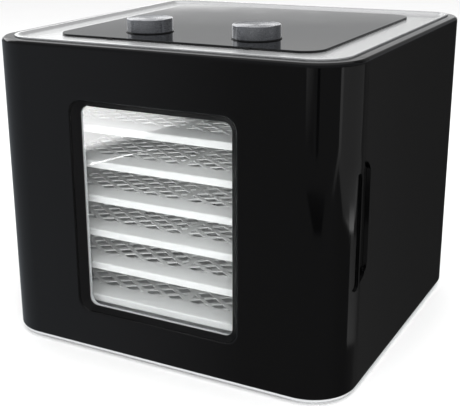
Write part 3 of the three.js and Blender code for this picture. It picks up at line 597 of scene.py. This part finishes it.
def scoop_tool():
    """The hand-hold: a round-ended hollow, deep at the seam and shallow towards the rear."""
    reach = SCOOP["reach"]
    floor = HALF_WIDTH - SCOOP["depth"]
    outside = HALF_WIDTH + MM
    rear = (outside, SEAM_Y + reach + MM)
    bend = (rear, (floor, SEAM_Y + reach - 3 * MM), (floor, SEAM_Y + 5 * MM))
    profile = [(floor, SEAM_Y - MM), (outside, SEAM_Y - MM), rear]
    steps = 10
    for i in range(1, steps + 1):
        t = i / steps
        weights = ((1 - t) ** 2, 2 * t * (1 - t), t * t)
        profile.append(tuple(sum(w * p[k] for w, p in zip(weights, bend)) for k in (0, 1)))
    channel = prism("channel", profile, SCOOP["z"])
    window = side_slot("window", reach + MM, SCOOP["z"], 0.5 * MM, 16, HALF_WIDTH - 5 * MM, SEAM_Y)
    return keep(channel, window)


def screw_points():
    """The CAD name and the centre (x, z) of each of the rear cover's screws."""
    points = []
    for i in range(1, 5):
        name = f"rear_cover_screw_{i}"
        middle = sum(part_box(name), Vector()) / 2
        points.append((name, (middle.x, middle.z)))
    return points


def side_shell(whole, side, name, node):
    """One side wall with its part of the rim and the rear corner. side is -1 for left and 1 for right."""
    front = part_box(node)[0].y
    reach = (COVER_HALF, HALF_WIDTH + MM) if side > 0 else (-HALF_WIDTH - MM, -COVER_HALF)
    zone = block("zone", reach, (front, HALF_DEPTH + MM), FULL_HEIGHT)
    shell = keep(copy_of(whole, name), zone)
    if side > 0:
        cut(shell, scoop_tool())
    half = SCREW_TAB["half"]
    for _, (x, z) in screw_points():
        if x * side > 0:
            tab = sorted((x - half * side, SCREW_TAB["x"] * side))
            join(shell, block("tab", tab, SCREW_TAB["y"], (z - half, z + half)))
            cut(shell, disc("hole", (x, z), SCREW_HOLE_RADIUS, THROUGH_REAR, "Y", 20))
    dress(shell, 0.35 * MM)
    return present(shell, BLACK, "black_gloss", "cabinet", node)


def scoop_cup():
    """The cup behind the opening in the side wall, with its floor and its curved rear wall."""
    low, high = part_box("scoop_cup")
    cup = block("hand_hold_cup", (low.x, high.x), (low.y, high.y), (low.z, high.z))
    cut(cup, scoop_tool())
    dress(cup, 0.3 * MM)
    return present(cup, BLACK, "black_gloss", "cabinet", "scoop_cup")


def slot_outline(x, z):
    """A round-ended slot across x and z."""
    radius = min(x[1] - x[0], z[1] - z[0]) / 2 * 0.98
    return rounded(x, z, radius, steps=6)


def rear_slots():
    """Outlines of the fan grille and of the air slots beside it."""
    slots = []
    for row in range(GRILLE["rows"]):
        lift = (row - GRILLE["rows"] // 2) * GRILLE["pitch"]
        half = math.sqrt(GRILLE["radius"] ** 2 - lift ** 2)
        z = FAN_AXIS.z + lift
        slots.append(slot_outline((-half, half), (z - SLOT_HALF, z + SLOT_HALF)))
    for column in range(VENTS["count"]):
        x = VENTS["start"] + VENTS["pitch"] * column
        slots.append(slot_outline((x - SLOT_HALF, x + SLOT_HALF), VENTS["z"]))
    return slots


def rear_cover(whole):
    """The flat back with its air slots, the inlet's opening and the countersunk screw holes."""
    zone = block("zone", (COVER_LOW.x, COVER_HIGH.x), (HALF_DEPTH - 66 * MM, HALF_DEPTH + MM), FULL_HEIGHT)
    cover = keep(copy_of(whole, "rear_skin"), zone)
    for outline in rear_slots():
        cut(cover, prism("slot", outline, THROUGH_REAR, "Y"))
    low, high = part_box("mains_inlet")
    hole = rounded((low.x - GAP, high.x + GAP), (low.z - GAP, high.z + GAP), 2 * MM, steps=4)
    cut(cover, prism("inlet", hole, THROUGH_REAR, "Y"))
    sink = (HALF_DEPTH - SCREW_SINK["depth"], THROUGH_REAR[1])
    for _, centre in screw_points():
        cut(cover, disc("sink", centre, SCREW_SINK["radius"], sink, "Y"))
        cut(cover, disc("hole", centre, SCREW_HOLE_RADIUS, THROUGH_REAR, "Y", 20))
    dress(cover, 0.3 * MM)
    return present(cover, BLACK, "black_gloss", "cabinet", "rear_cover")


def rear_screws():
    """Countersunk cross-head screws."""
    for name, (x, z) in screw_points():
        low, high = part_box(name)
        face = high.y
        profile = [(0, low.y), (0.6 * MM, low.y), (1.7 * MM, low.y + 2 * MM), (1.7 * MM, face - 1.5 * MM),
                   (3.4 * MM, face - 1.4 * MM), (3.5 * MM, face - 0.7 * MM), (2.8 * MM, face - 0.15 * MM),
                   (1.2 * MM, face), (0, face)]
        screw = lathe(name + "_detail", profile, (x, 0, z), "Y", 32)
        arm = 1.9 * MM
        width = 0.42 * MM
        depth = (face - 0.9 * MM, face + MM)
        upright = block("cross", (x - width, x + width), depth, (z - arm, z + arm))
        across = block("cross", (x - arm, x + arm), depth, (z - width, z + width))
        cut(screw, join(upright, across))
        dress(screw, 0.06 * MM, 1)
        present(screw, ZINC, "zinc", "cabinet", name)


# ---------- Top ----------

def knob_centres():
    return [tuple(JOINTS[name]["pos_m"][:2]) for name in ("timer_turn", "thermostat_turn")]


def cut_shaft_holes(obj):
    """The two holes that the knobs' shafts pass through."""
    for centre in knob_centres():
        cut(obj, disc("hole", centre, SHAFT_HOLE_RADIUS, THROUGH_TOP))


def top_panel():
    """The silver tray-shaped panel with a rounded raised lip."""
    lip_bottom = SHELL_TOP + GAP
    lip_top = TOP_HIGH.z
    edge = 0.5 * MM
    crown = 0.4 * MM
    rings = [(rim_plan(RIM_WIDTH - GAP), lip_bottom - 0.12 * MM)]
    for inset, rise in quarter(crown, crown, 8):
        rings.append((rim_plan(RIM_WIDTH - GAP + inset), lip_top - crown + rise))
    flange = loft("silver_top", rings)
    floor = TOP_LOW.z + PANEL_THICKNESS
    join(flange, prism("wall", rim_plan(RIM_WIDTH + 1.8 * MM), (TOP_LOW.z, lip_top - edge)))
    lip = RIM_WIDTH + 3 * MM
    slope = 2.4 * MM
    foot = lip + slope
    recess = [(rim_plan(foot + 0.5 * MM), floor), (rim_plan(foot + 0.15 * MM), floor + 0.1 * MM),
              (rim_plan(foot - 0.2 * MM), floor + 0.35 * MM)]
    for inset, rise in quarter(edge, edge, 5):
        recess.append((rim_plan(lip - inset), lip_top - edge + rise))
    recess.append((rim_plan(lip - edge), lip_top + MM))
    cut(flange, loft("recess", recess))
    cut_shaft_holes(flange)
    dress(flange)
    return present(flange, SILVER, "silver_top", "cabinet", "top_panel")


def painted_shade_sheet():
    """A black sheet that fills the gap under the control glass: painted shade, darkening the gap beneath the glass
    like its shadow.
    """
    outline = inset_outline(GLASS_LOW, GLASS_HIGH, 0.7 * MM, 18.3 * MM)
    span = (TOP_LOW.z + PANEL_THICKNESS + 0.02 * MM, GLASS_LOW.z - 0.02 * MM)
    dark_sheet = prism("painted_shade_sheet", outline, span)
    cut_shaft_holes(dark_sheet)
    dress(dark_sheet, 0.05 * MM, 1)
    present(dark_sheet, DARK_PLASTIC, "dark_plastic", "cabinet")


def control_glass():
    """The dark glass with ground edges."""
    edge = 0.3 * MM

    def outline(inset):
        return inset_outline(GLASS_LOW, GLASS_HIGH, inset, 19 * MM - inset)

    rings = [(outline(edge), GLASS_LOW.z), (outline(0), GLASS_LOW.z + edge)]
    rings += [(outline(inset), GLASS_HIGH.z - edge + rise) for inset, rise in quarter(edge, edge, 3)]
    plate = loft("control_plate", rings)
    cut_shaft_holes(plate)
    dress(plate)
    return present(plate, CONTROL_GLASS, "control_glass", "cabinet", "control_glass")


def knob(joint, node, name):
    """A turned knob: straight side, bright top edge, a slightly dished top and a pointer mark cut into it. Its
    dark foot ring is a separate piece.
    """
    x, y = JOINTS[joint]["pos_m"][:2]
    low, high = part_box(node)
    radius = (high.x - low.x) / 2
    top = high.z
    foot = low.z - 0.65 * MM
    bore = 3.3 * MM
    skirt = 2.8 * MM
    edge = 0.7 * MM
    profile = [(0, top - skirt), (bore, top - skirt), (bore, foot), (radius - 0.2 * MM, foot),
               (radius, foot + 0.2 * MM), (radius, top - edge)]
    profile += [(radius - inset, top - edge + rise) for inset, rise in quarter(edge, edge, 5)]
    dish_radius = radius - 1.9 * MM
    dish_edge = top - 0.22 * MM
    dish_depth = 0.25 * MM
    profile += [(radius - 1.5 * MM, top), (dish_radius, dish_edge)]
    steps = 6
    for i in range(1, steps + 1):
        share = 1 - i / steps
        profile.append((dish_radius * share, dish_edge - dish_depth * (1 - share ** 2)))
    turned = lathe(name, profile, (x, y, 0), steps=96)
    half_mark = 0.6 * MM
    mark = block("mark", (x - half_mark, x + half_mark), (y - radius + 2.4 * MM, y - radius + 7 * MM),
                 (top - 0.9 * MM, top + MM))
    cut(turned, mark)
    dress(turned, angle=28)
    return present(turned, KNOB_METAL, "knob_metal", node, node)


def knob_ring(centre, node):
    """The dark foot ring round a knob."""
    low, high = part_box(node)
    radius = (high.x - low.x) / 2
    hole = 4 * MM
    bottom = low.z - 0.2 * MM
    top = low.z + 0.45 * MM
    profile = [(hole, bottom), (radius - 0.2 * MM, bottom), (radius, bottom + 0.15 * MM),
               (radius - 0.1 * MM, top - 0.2 * MM), (radius - 0.4 * MM, top), (hole, top), (hole, bottom)]
    ring = dress(lathe(node + "_detail", profile, (*centre, 0), steps=72))
    present(ring, DARK_PLASTIC, "dark_plastic", "cabinet", node)


# ---------- Door window ----------

def window_pane():
    """The clear pane with ground edges."""
    edge = 0.4 * MM
    outline = {"x": PANE_HIGH.x, "z": (PANE_LOW.z, PANE_HIGH.z), "radius": 13 * MM}
    rings = [(window_outline(outline, -inset), PANE_LOW.y + edge - rise)
             for inset, rise in reversed(quarter(edge, edge, 3))]
    rings += [(window_outline(outline, -inset), PANE_HIGH.y - edge + rise)
              for inset, rise in quarter(edge, edge, 3)]
    pane = dress(loft("clear_pane", rings, "Y"))
    pane.visible_shadow = False
    return present(pane, CLEAR, "window_glass", "door", "window_pane")


def window_bead():
    """The thin pale bead round the pane's edge, in front of it."""
    seat = FRONT + WINDOW_DEPTH
    span = (seat + 0.1 * MM, seat + 0.95 * MM)
    bead = prism("window_bead", window_outline(WINDOW_INNER, -0.15 * MM), span, "Y")
    inside = (span[0] - MM, span[1] + MM)
    cut(bead, prism("inside", window_outline(WINDOW_INNER, -0.5 * MM), inside, "Y"))
    dress(bead, 0.15 * MM)
    present(bead, TRIM, "liner_white", "door")


# ---------- Trays ----------

def diamond_mesh(x, y, z):
    """A flat lattice of diamond cells, clipped to a rectangle, with closed ends."""
    mesh = bmesh.new()
    pitch_x, pitch_y = MESH_PITCH
    corners = [(0.5, 0), (0, 0.5), (-0.5, 0), (0, -0.5)]
    columns = math.ceil((x[1] - x[0]) / pitch_x / 2) + 1
    rows = math.ceil((y[1] - y[0]) / pitch_y) + 2
    middle = ((x[0] + x[1]) / 2, (y[0] + y[1]) / 2)
    for row in range(-rows, rows + 1):
        for column in range(-columns, columns + 1):
            centre_x = middle[0] + (column + (0.5 if row % 2 else 0)) * pitch_x
            centre_y = middle[1] + row * pitch_y / 2
            outside = [(centre_x + u * pitch_x, centre_y + v * pitch_y) for u, v in corners]
            inside = [(centre_x + u * pitch_x * MESH_HOLE, centre_y + v * pitch_y * MESH_HOLE)
                      for u, v in corners]
            rings = []
            for points, level in ((outside, z[0]), (inside, z[0]), (inside, z[1]), (outside, z[1])):
                rings.append([mesh.verts.new((u, v, level)) for u, v in points])
            for below, above in zip(rings, rings[1:]):
                for i in range(4):
                    j = (i + 1) % 4
                    mesh.faces.new((below[i], below[j], above[j], above[i]))
    bmesh.ops.remove_doubles(mesh, verts=mesh.verts, dist=1e-6)
    for point, normal in (((x[0], 0, 0), (-1, 0, 0)), ((x[1], 0, 0), (1, 0, 0)),
                          ((0, y[0], 0), (0, -1, 0)), ((0, y[1], 0), (0, 1, 0))):
        geometry = list(mesh.verts) + list(mesh.edges) + list(mesh.faces)
        bmesh.ops.bisect_plane(mesh, geom=geometry, plane_co=point, plane_no=normal, clear_outer=True)
    border = [edge for edge in mesh.edges if edge.is_boundary]
    bmesh.ops.holes_fill(mesh, edges=border, sides=0)
    bmesh.ops.recalc_face_normals(mesh, faces=mesh.faces)
    return as_object("lattice", mesh)


def tray_rim():
    """The frame of a tray: a broad flat rim with soft edges and a skirt underneath."""
    soft = 1.5 * MM

    def outline(inset, radius):
        return inset_outline(TRAY_LOW, TRAY_HIGH, inset, radius, 8)

    rings = [(outline(0.3 * MM, 5.7 * MM), TRAY_LOW.z), (outline(0, 6 * MM), TRAY_LOW.z + 0.3 * MM)]
    rings += [(outline(inset, 6 * MM - inset), TRAY_HIGH.z - soft + rise)
              for inset, rise in quarter(soft, soft, 5)]
    rim = loft("rim", rings)
    cut(rim, prism("under", outline(2 * MM, 4 * MM), (TRAY_LOW.z - MM, TRAY_HIGH.z - 2.5 * MM)))
    top = TRAY_HIGH.z
    edge = 0.6 * MM
    hole = [(outline(TRAY_RIM, 5 * MM), TRAY_LOW.z - MM), (outline(TRAY_RIM, 5 * MM), top - edge)]
    hole += [(outline(TRAY_RIM - inset, 5 * MM + inset), top - edge + rise)
             for inset, rise in quarter(edge, edge, 3)[1:]]
    hole.append((outline(TRAY_RIM - edge, 5 * MM + edge), top + MM))
    return cut(rim, loft("hole", hole))


def tray_blank():
    """One whole tray: rim, diamond mesh floor and the rib along its middle."""
    tray = tray_rim()
    inset = TRAY_RIM - MM
    x = (TRAY_LOW.x + inset, TRAY_HIGH.x - inset)
    y = (TRAY_LOW.y + inset, TRAY_HIGH.y - inset)
    top = TRAY_HIGH.z - 0.4 * MM
    lattice = diamond_mesh(x, y, (top - MESH_THICKNESS, top))
    rib = block("rib", (-3 * MM, 3 * MM), y, (top - 2.1 * MM, top + 0.1 * MM))
    join(tray, join(lattice, rib))
    return dress(tray)


def trays():
    """Six trays that share one shape."""
    blank = tray_blank()
    for i in range(1, 7):
        node = f"tray_{i}"
        tray = bpy.data.objects.new(node + "_detail", blank.data)
        bpy.context.scene.collection.objects.link(tray)
        tray.location.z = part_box(node)[1].z - TRAY_HIGH.z
        present(tray, TRAY_WHITE, "tray_white", "cabinet", node)
    bpy.data.objects.remove(blank)


# ---------- Base ----------

def base_plate():
    """The pale base strip, a little inside the black skin, with a soft lower edge."""
    inset = 1.2 * MM
    edge = 0.5 * MM
    rings = [(plan(inset + edge), BASE_LOW.z), (plan(inset), BASE_LOW.z + edge), (plan(inset), BASE_HIGH.z)]
    plate = dress(loft("base_tray", rings))
    present(plate, BASE_GREY, "base_grey", "cabinet", "base_plate")


def feet():
    """Four low pads with softened edges."""
    for i in range(1, 5):
        node = f"foot_{i}"
        foot = copy_of(frame["nodes"][node], node + "_pad")
        dress(foot, 0.5 * MM)
        present(foot, BASE_GREY, "base_grey", "cabinet", node)


# ---------- Camera, light and floor ----------

CAMERA = {"place": (0.39797, -0.79418, 0.4016), "yaw": 29.62, "pitch": 17.69, "roll": -0.88,
          "lens": 73.37, "shift": (0.0797, -0.0272)}


def add_camera():
    """The view direction, turned by yaw about Z, tipped down by pitch and rolled about itself."""
    yaw, pitch, roll = (math.radians(CAMERA[key]) for key in ("yaw", "pitch", "roll"))
    forward = Vector((-math.sin(yaw) * math.cos(pitch), math.cos(yaw) * math.cos(pitch), -math.sin(pitch)))
    right = forward.cross(Vector((0, 0, 1))).normalized()
    up = right.cross(forward)
    rolled_right = right * math.cos(roll) + up * math.sin(roll)
    rolled_up = up * math.cos(roll) - right * math.sin(roll)
    data = bpy.data.cameras.new("camera")
    data.lens = CAMERA["lens"]
    data.sensor_width = 36
    data.shift_x, data.shift_y = CAMERA["shift"]
    data.clip_start = 0.01
    camera = bpy.data.objects.new("camera", data)
    bpy.context.scene.collection.objects.link(camera)
    turn = Matrix((rolled_right, rolled_up, -forward)).transposed().to_4x4()
    camera.matrix_world = Matrix.Translation(CAMERA["place"]) @ turn
    bpy.context.scene.camera = camera


def area_light(name, place, target, size, power):
    """A soft light that matt surfaces see and gloss doesn't."""
    data = bpy.data.lights.new(name, "AREA")
    data.shape = "RECTANGLE"
    data.size, data.size_y = size
    data.energy = power
    light = bpy.data.objects.new(name, data)
    bpy.context.scene.collection.objects.link(light)
    light.location = place
    direction = Vector(target) - Vector(place)
    light.rotation_euler = direction.to_track_quat("-Z", "Y").to_euler()
    light.visible_camera = False
    light.visible_glossy = False


def add_world():
    """Even white light for matt surfaces. Gloss sees other tones: one curve of brightness above the
    horizon to the rear, one above it elsewhere, and one below it."""
    world = bpy.data.worlds.new("studio")
    bpy.context.scene.world = world
    world.use_nodes = True
    nodes, links = world.node_tree.nodes, world.node_tree.links
    background = nodes["Background"]
    direction = nodes.new("ShaderNodeTexCoord")
    parts = nodes.new("ShaderNodeSeparateXYZ")
    links.new(direction.outputs["Generated"], parts.inputs["Vector"])
    back = nodes.new("ShaderNodeMath")
    back.operation = "MULTIPLY"
    back.inputs[1].default_value = -1
    links.new(parts.outputs["Y"], back.inputs[0])
    bearing = nodes.new("ShaderNodeMath")
    bearing.operation = "ARCTAN2"
    links.new(parts.outputs["X"], bearing.inputs[0])
    links.new(back.outputs["Value"], bearing.inputs[1])
    below = curve_of(nodes, links, bearing.outputs["Value"], (-math.pi, math.pi), BELOW_BY_BEARING)
    behind = curve_of(nodes, links, parts.outputs["Z"], (0.0, 1.0), BEHIND_BY_HEIGHT)
    front = curve_of(nodes, links, parts.outputs["Z"], (0.0, 1.0), FRONT_BY_HEIGHT)
    rearward = nodes.new("ShaderNodeVectorMath")
    rearward.operation = "DOT_PRODUCT"
    rearward.inputs[1].default_value = REARWARD
    links.new(direction.outputs["Generated"], rearward.inputs[0])
    rear_share = ranged(nodes, links, rearward.outputs["Value"], 0.0, 1.0, 0.80, 0.94)
    above = blended(nodes, links, rear_share, front, behind)
    horizon = ranged(nodes, links, parts.outputs["Z"], 0.0, 1.0, -0.01, 0.03)
    seen = blended(nodes, links, horizon, below, above)
    path = nodes.new("ShaderNodeLightPath")
    mix = nodes.new("ShaderNodeMix")
    mix.data_type = "RGBA"
    mix.inputs["A"].default_value = (1, 1, 1, 1)
    links.new(path.outputs["Is Glossy Ray"], mix.inputs["Factor"])
    links.new(seen, mix.inputs["B"])
    links.new(mix.outputs["Result"], background.inputs["Color"])


def blended(nodes, links, share, first, second):
    """A colour between two linked colours, by a share from 0 to 1."""
    mix = nodes.new("ShaderNodeMix")
    mix.data_type = "RGBA"
    links.new(share, mix.inputs["Factor"])
    links.new(first, mix.inputs["A"])
    links.new(second, mix.inputs["B"])
    return mix.outputs["Result"]


def curve_of(nodes, links, value, span, stops):
    """A colour that follows a value. The stops are (value, grey) or (value, red, green, blue)."""
    ramp = nodes.new("ShaderNodeValToRGB")
    elements = ramp.color_ramp.elements
    for element in list(elements)[1:]:
        elements.remove(element)
    for i, (place, *color) in enumerate(stops):
        position = (place - span[0]) / (span[1] - span[0])
        element = elements[0] if i == 0 else elements.new(position)
        element.position = position
        element.color = (*(color * 3 if len(color) == 1 else color), 1)
    links.new(ranged(nodes, links, value, 0.0, 1.0, *span), ramp.inputs["Fac"])
    return ramp.outputs["Color"]


# The level direction away from the camera, over the cabinet's back.
REARWARD = (-0.5, 0.866, 0)

# Brightness below the horizon, by the bearing in radians from the front towards the right.
BELOW_BY_BEARING = [
    (-3.1, 0.05), (-2.6, 0.22, 0.24, 0.26), (-0.75, 0.30, 0.32, 0.345), (-0.60, 0.26, 0.265, 0.28),
    (-0.46, 0.12), (1.0, 0.12), (1.9, 0.07), (2.8, 0.075), (2.86, 0.048), (2.92, 0.033), (3.1, 0.045),
]

# Brightness above the horizon to the rear, by the height of the direction.
BEHIND_BY_HEIGHT = [
    (0.0, 2.6), (0.106, 2.4), (0.118, 0.66, 0.665, 0.67), (0.135, 0.50, 0.505, 0.51),
    (0.148, 0.54, 0.545, 0.55), (0.160, 0.62), (0.20, 0.45), (0.30, 0.26, 0.26, 0.27), (0.7, 0.2),
]

# Brightness above the horizon elsewhere, by the height of the direction.
FRONT_BY_HEIGHT = [
    (0.0, 0.20, 0.205, 0.215), (0.6, 0.20, 0.205, 0.215), (0.85, 0.55, 0.55, 0.56), (1.0, 0.6),
]


def add_floor():
    """A plain pale floor. It doesn't show in gloss, so the black sides stay black."""
    half = 9.0
    mesh = bmesh.new()
    corners = ((-half, -half), (half, -half), (half, half), (-half, half))
    mesh.faces.new([mesh.verts.new((x, y, 0)) for x, y in corners])
    floor = as_object("floor", mesh)
    material, nodes, links, shader = new_material("pale_floor")
    vector = place_coordinates(nodes, links)
    links.new(tinted(nodes, links, noise(nodes, links, vector, 6, 3), (0.86, 0.86, 0.86), (0.88, 0.88, 0.88)),
              shader.inputs["Base Color"])
    shader.inputs["Roughness"].default_value = 0.9
    shader.inputs["Specular IOR Level"].default_value = 0.1
    floor.data.materials.append(material)
    floor.visible_glossy = False


def sky_patch(name, low, high, heights, levels, distance=2.0, steps=10):
    """A glowing patch of a sphere about the front right corner, seen only in gloss.

    low and high are the bearings of its lower and upper edges, left to right. They and heights are in
    degrees. levels are the glow at its low left, low right, high left and high right."""
    centre = Vector((HALF_WIDTH - CORNER_RADIUS, CORNER_RADIUS - HALF_DEPTH, 0.15))
    mesh = bmesh.new()
    glow = mesh.verts.layers.float.new("glow")
    grid = []
    for i in range(steps + 1):
        row = []
        v = i / steps
        left, right = (low[k] + (high[k] - low[k]) * v for k in (0, 1))
        height = math.radians(heights[0] + (heights[1] - heights[0]) * v)
        for j in range(steps + 1):
            u = j / steps
            bearing = math.radians(left + (right - left) * u)
            direction = Vector((math.sin(bearing) * math.cos(height), -math.cos(bearing) * math.cos(height),
                                math.sin(height)))
            vertex = mesh.verts.new(centre + direction * distance)
            lower = levels[0] * (1 - u) + levels[1] * u
            upper = levels[2] * (1 - u) + levels[3] * u
            vertex[glow] = lower * (1 - v) + upper * v
            row.append(vertex)
        grid.append(row)
    for below, above in zip(grid, grid[1:]):
        for j in range(steps):
            mesh.faces.new((below[j], below[j + 1], above[j + 1], above[j]))
    glowing(as_object(name, mesh))


# What the window's cards shine on. The pane joins it once it is made.
PANE_ONLY = bpy.data.collections.new("pane_only")


def pane_reflection(name, corners, levels, distance=1.5):
    """A glowing quad that the pane mirrors, for the photograph's camera, at the points (x, z) given."""
    eye = Vector(CAMERA["place"])
    mesh = bmesh.new()
    glow = mesh.verts.layers.float.new("glow")
    vertices = []
    for (x, z), level in zip(corners, levels):
        point = Vector((x, PANE_LOW.y, z))
        direction = (point - eye).normalized()
        direction.y = -direction.y
        vertex = mesh.verts.new(point + direction * distance)
        vertex[glow] = level
        vertices.append(vertex)
    mesh.faces.new(vertices)
    bmesh.ops.subdivide_edges(mesh, edges=mesh.edges, cuts=6, use_grid_fill=True)
    card = glowing(as_object(name, mesh), see_through=True)
    card.light_linking.receiver_collection = PANE_ONLY


def glowing(card, see_through=False):
    """Makes a card that only gloss can see, as bright as its own glow layer says.

    A see-through card adds its glow to what lies behind it."""
    material, nodes, links, _ = new_material(card.name)
    level = nodes.new("ShaderNodeAttribute")
    level.attribute_name = "glow"
    emission = nodes.new("ShaderNodeEmission")
    links.new(level.outputs["Fac"], emission.inputs["Strength"])
    surface = emission.outputs["Emission"]
    if see_through:
        clear = nodes.new("ShaderNodeBsdfTransparent")
        both = nodes.new("ShaderNodeAddShader")
        links.new(surface, both.inputs[0])
        links.new(clear.outputs["BSDF"], both.inputs[1])
        surface = both.outputs["Shader"]
    links.new(surface, nodes["Material Output"].inputs["Surface"])
    card.data.materials.append(material)
    card.visible_camera = False
    card.visible_diffuse = False
    card.visible_shadow = False
    card.visible_transmission = False
    return card


def add_lights():
    """Soft lights for the matt surfaces, and cards for the gloss."""
    area_light("overhead", (0.2, 0.1, 1.9), (0, 0, 0.1), (2.2, 2.2), 26)
    area_light("front_key", (0.5, -1.3, 1.12), (0, -0.14, 0.14), (1.4, 0.8), 10.5)
    area_light("front_low", (0.5, -1.5, 0.55), (0, -0.14, 0.14), (1.2, 0.3), 5)
    corner_cards()
    sky_patch("left_high", (-162, -85), (-162, -85), (14.5, 42), (0.3, 3.4, 0.2, 2.4))
    sky_patch("rear_right_dark", (-235, -162), (-235, -162), (14.5, 48), (0.06, 0.30, 0.06, 0.15))
    sky_patch("rear_right_low", (-184, -160), (-184, -160), (0, 8.5), (0.3, 1.7, 0.3, 1.7))
    window_cards()


def corner_cards():
    """What the rounded front right corner mirrors: bands, dark strips and a bright tongue above the pull."""
    sky_patch("corner_band", (-2, 14), (-3, 15), (-13.0, -3), (0.12, 0.06, 0.60, 0.20))
    sky_patch("corner_dark", (21, 27), (21, 27), (-13.5, -3), (0.03, 0.03, 0.0, 0.0), 1.9)
    sky_patch("corner_pit", (22, 38), (2, 46), (-19.9, -16.4), (0.0, 0.0, 0.05, 0.08), 1.9)
    sky_patch("corner_line", (72, 78), (73, 79), (-13.0, -3), (0.62, 0.62, 0.8, 0.8), 1.85)
    sky_patch("corner_bend", (57, 63), (72, 78), (-16.8, -13.0), (0.15, 0.20, 0.62, 0.62), 1.85)
    sky_patch("side_sheen", (74, 142), (79, 142), (-14.6, -3), (0.42, 0.22, 0.40, 0.20))
    sky_patch("side_tongue", (89, 136), (74, 142), (-18.6, -14.6), (0.35, 0.5, 0.42, 0.22))
    sky_patch("side_tip", (114, 126), (89, 136), (-19.9, -18.6), (1.9, 1.2, 0.35, 0.5))
    sky_patch("side_spot", (108, 123), (106, 124), (-19.7, -17.5), (1.9, 1.7, 0.4, 0.4), 1.9)
    sky_patch("side_ridge", (114, 156), (114, 156), (-29, -20.3), (0.50, 0.05, 0.30, 0.06))


def window_cards():
    """What the pane mirrors: a bright corner that ends along a slope, and one thin bright line under it."""
    top = 0.2300
    slope_low = (-0.0722, 0.1921)
    slope_middle = (-0.0045, 0.2135)
    slope_high = (0.0432, 0.2289)
    top_middle = (-0.0037, top)
    left = [slope_low, slope_middle, top_middle, (-0.0742, top)]
    right = [slope_middle, slope_high, (slope_high[0], top), top_middle]
    skirt = [(slope_low[0], 0.1860), (slope_high[0], 0.2240), slope_high, slope_low]
    line = [(-0.0679, 0.1762), (-0.0018, 0.1984), (-0.0018, 0.1989), (-0.0678, 0.1775)]
    pane_reflection("veil_left", left, (17, 13, 10, 19))
    pane_reflection("veil_right", right, (13, 0.5, 0.5, 10))
    pane_reflection("veil_skirt", skirt, (0, 0, 0.5, 12))
    pane_reflection("veil_line", line, (28, 14, 14, 28))


add_camera()
add_world()
add_floor()
add_lights()
paint_cad_nodes()

WHOLE_SKIN = skin()
door_shell(WHOLE_SKIN)
side_shell(WHOLE_SKIN, -1, "side_skin_left", "side_shell_left")
side_shell(WHOLE_SKIN, 1, "side_skin_right", "side_shell_right")
scoop_cup()
rear_cover(WHOLE_SKIN)
bpy.data.objects.remove(WHOLE_SKIN)
rear_screws()
top_panel()
control_glass()
# Painted shade: a black sheet fills the gap under the control glass.
painted_shade_sheet()
knob("timer_turn", "timer_knob", "timer_dial")
knob("thermostat_turn", "thermostat_knob", "thermostat_dial")
for ring_centre, ring_node in zip(knob_centres(), ("knob_ring_left", "knob_ring_right")):
    knob_ring(ring_centre, ring_node)
window_surround()
PANE_ONLY.objects.link(window_pane())
window_bead()
trays()
base_plate()
feet()

bpy.context.scene.view_settings.view_transform = "Standard"
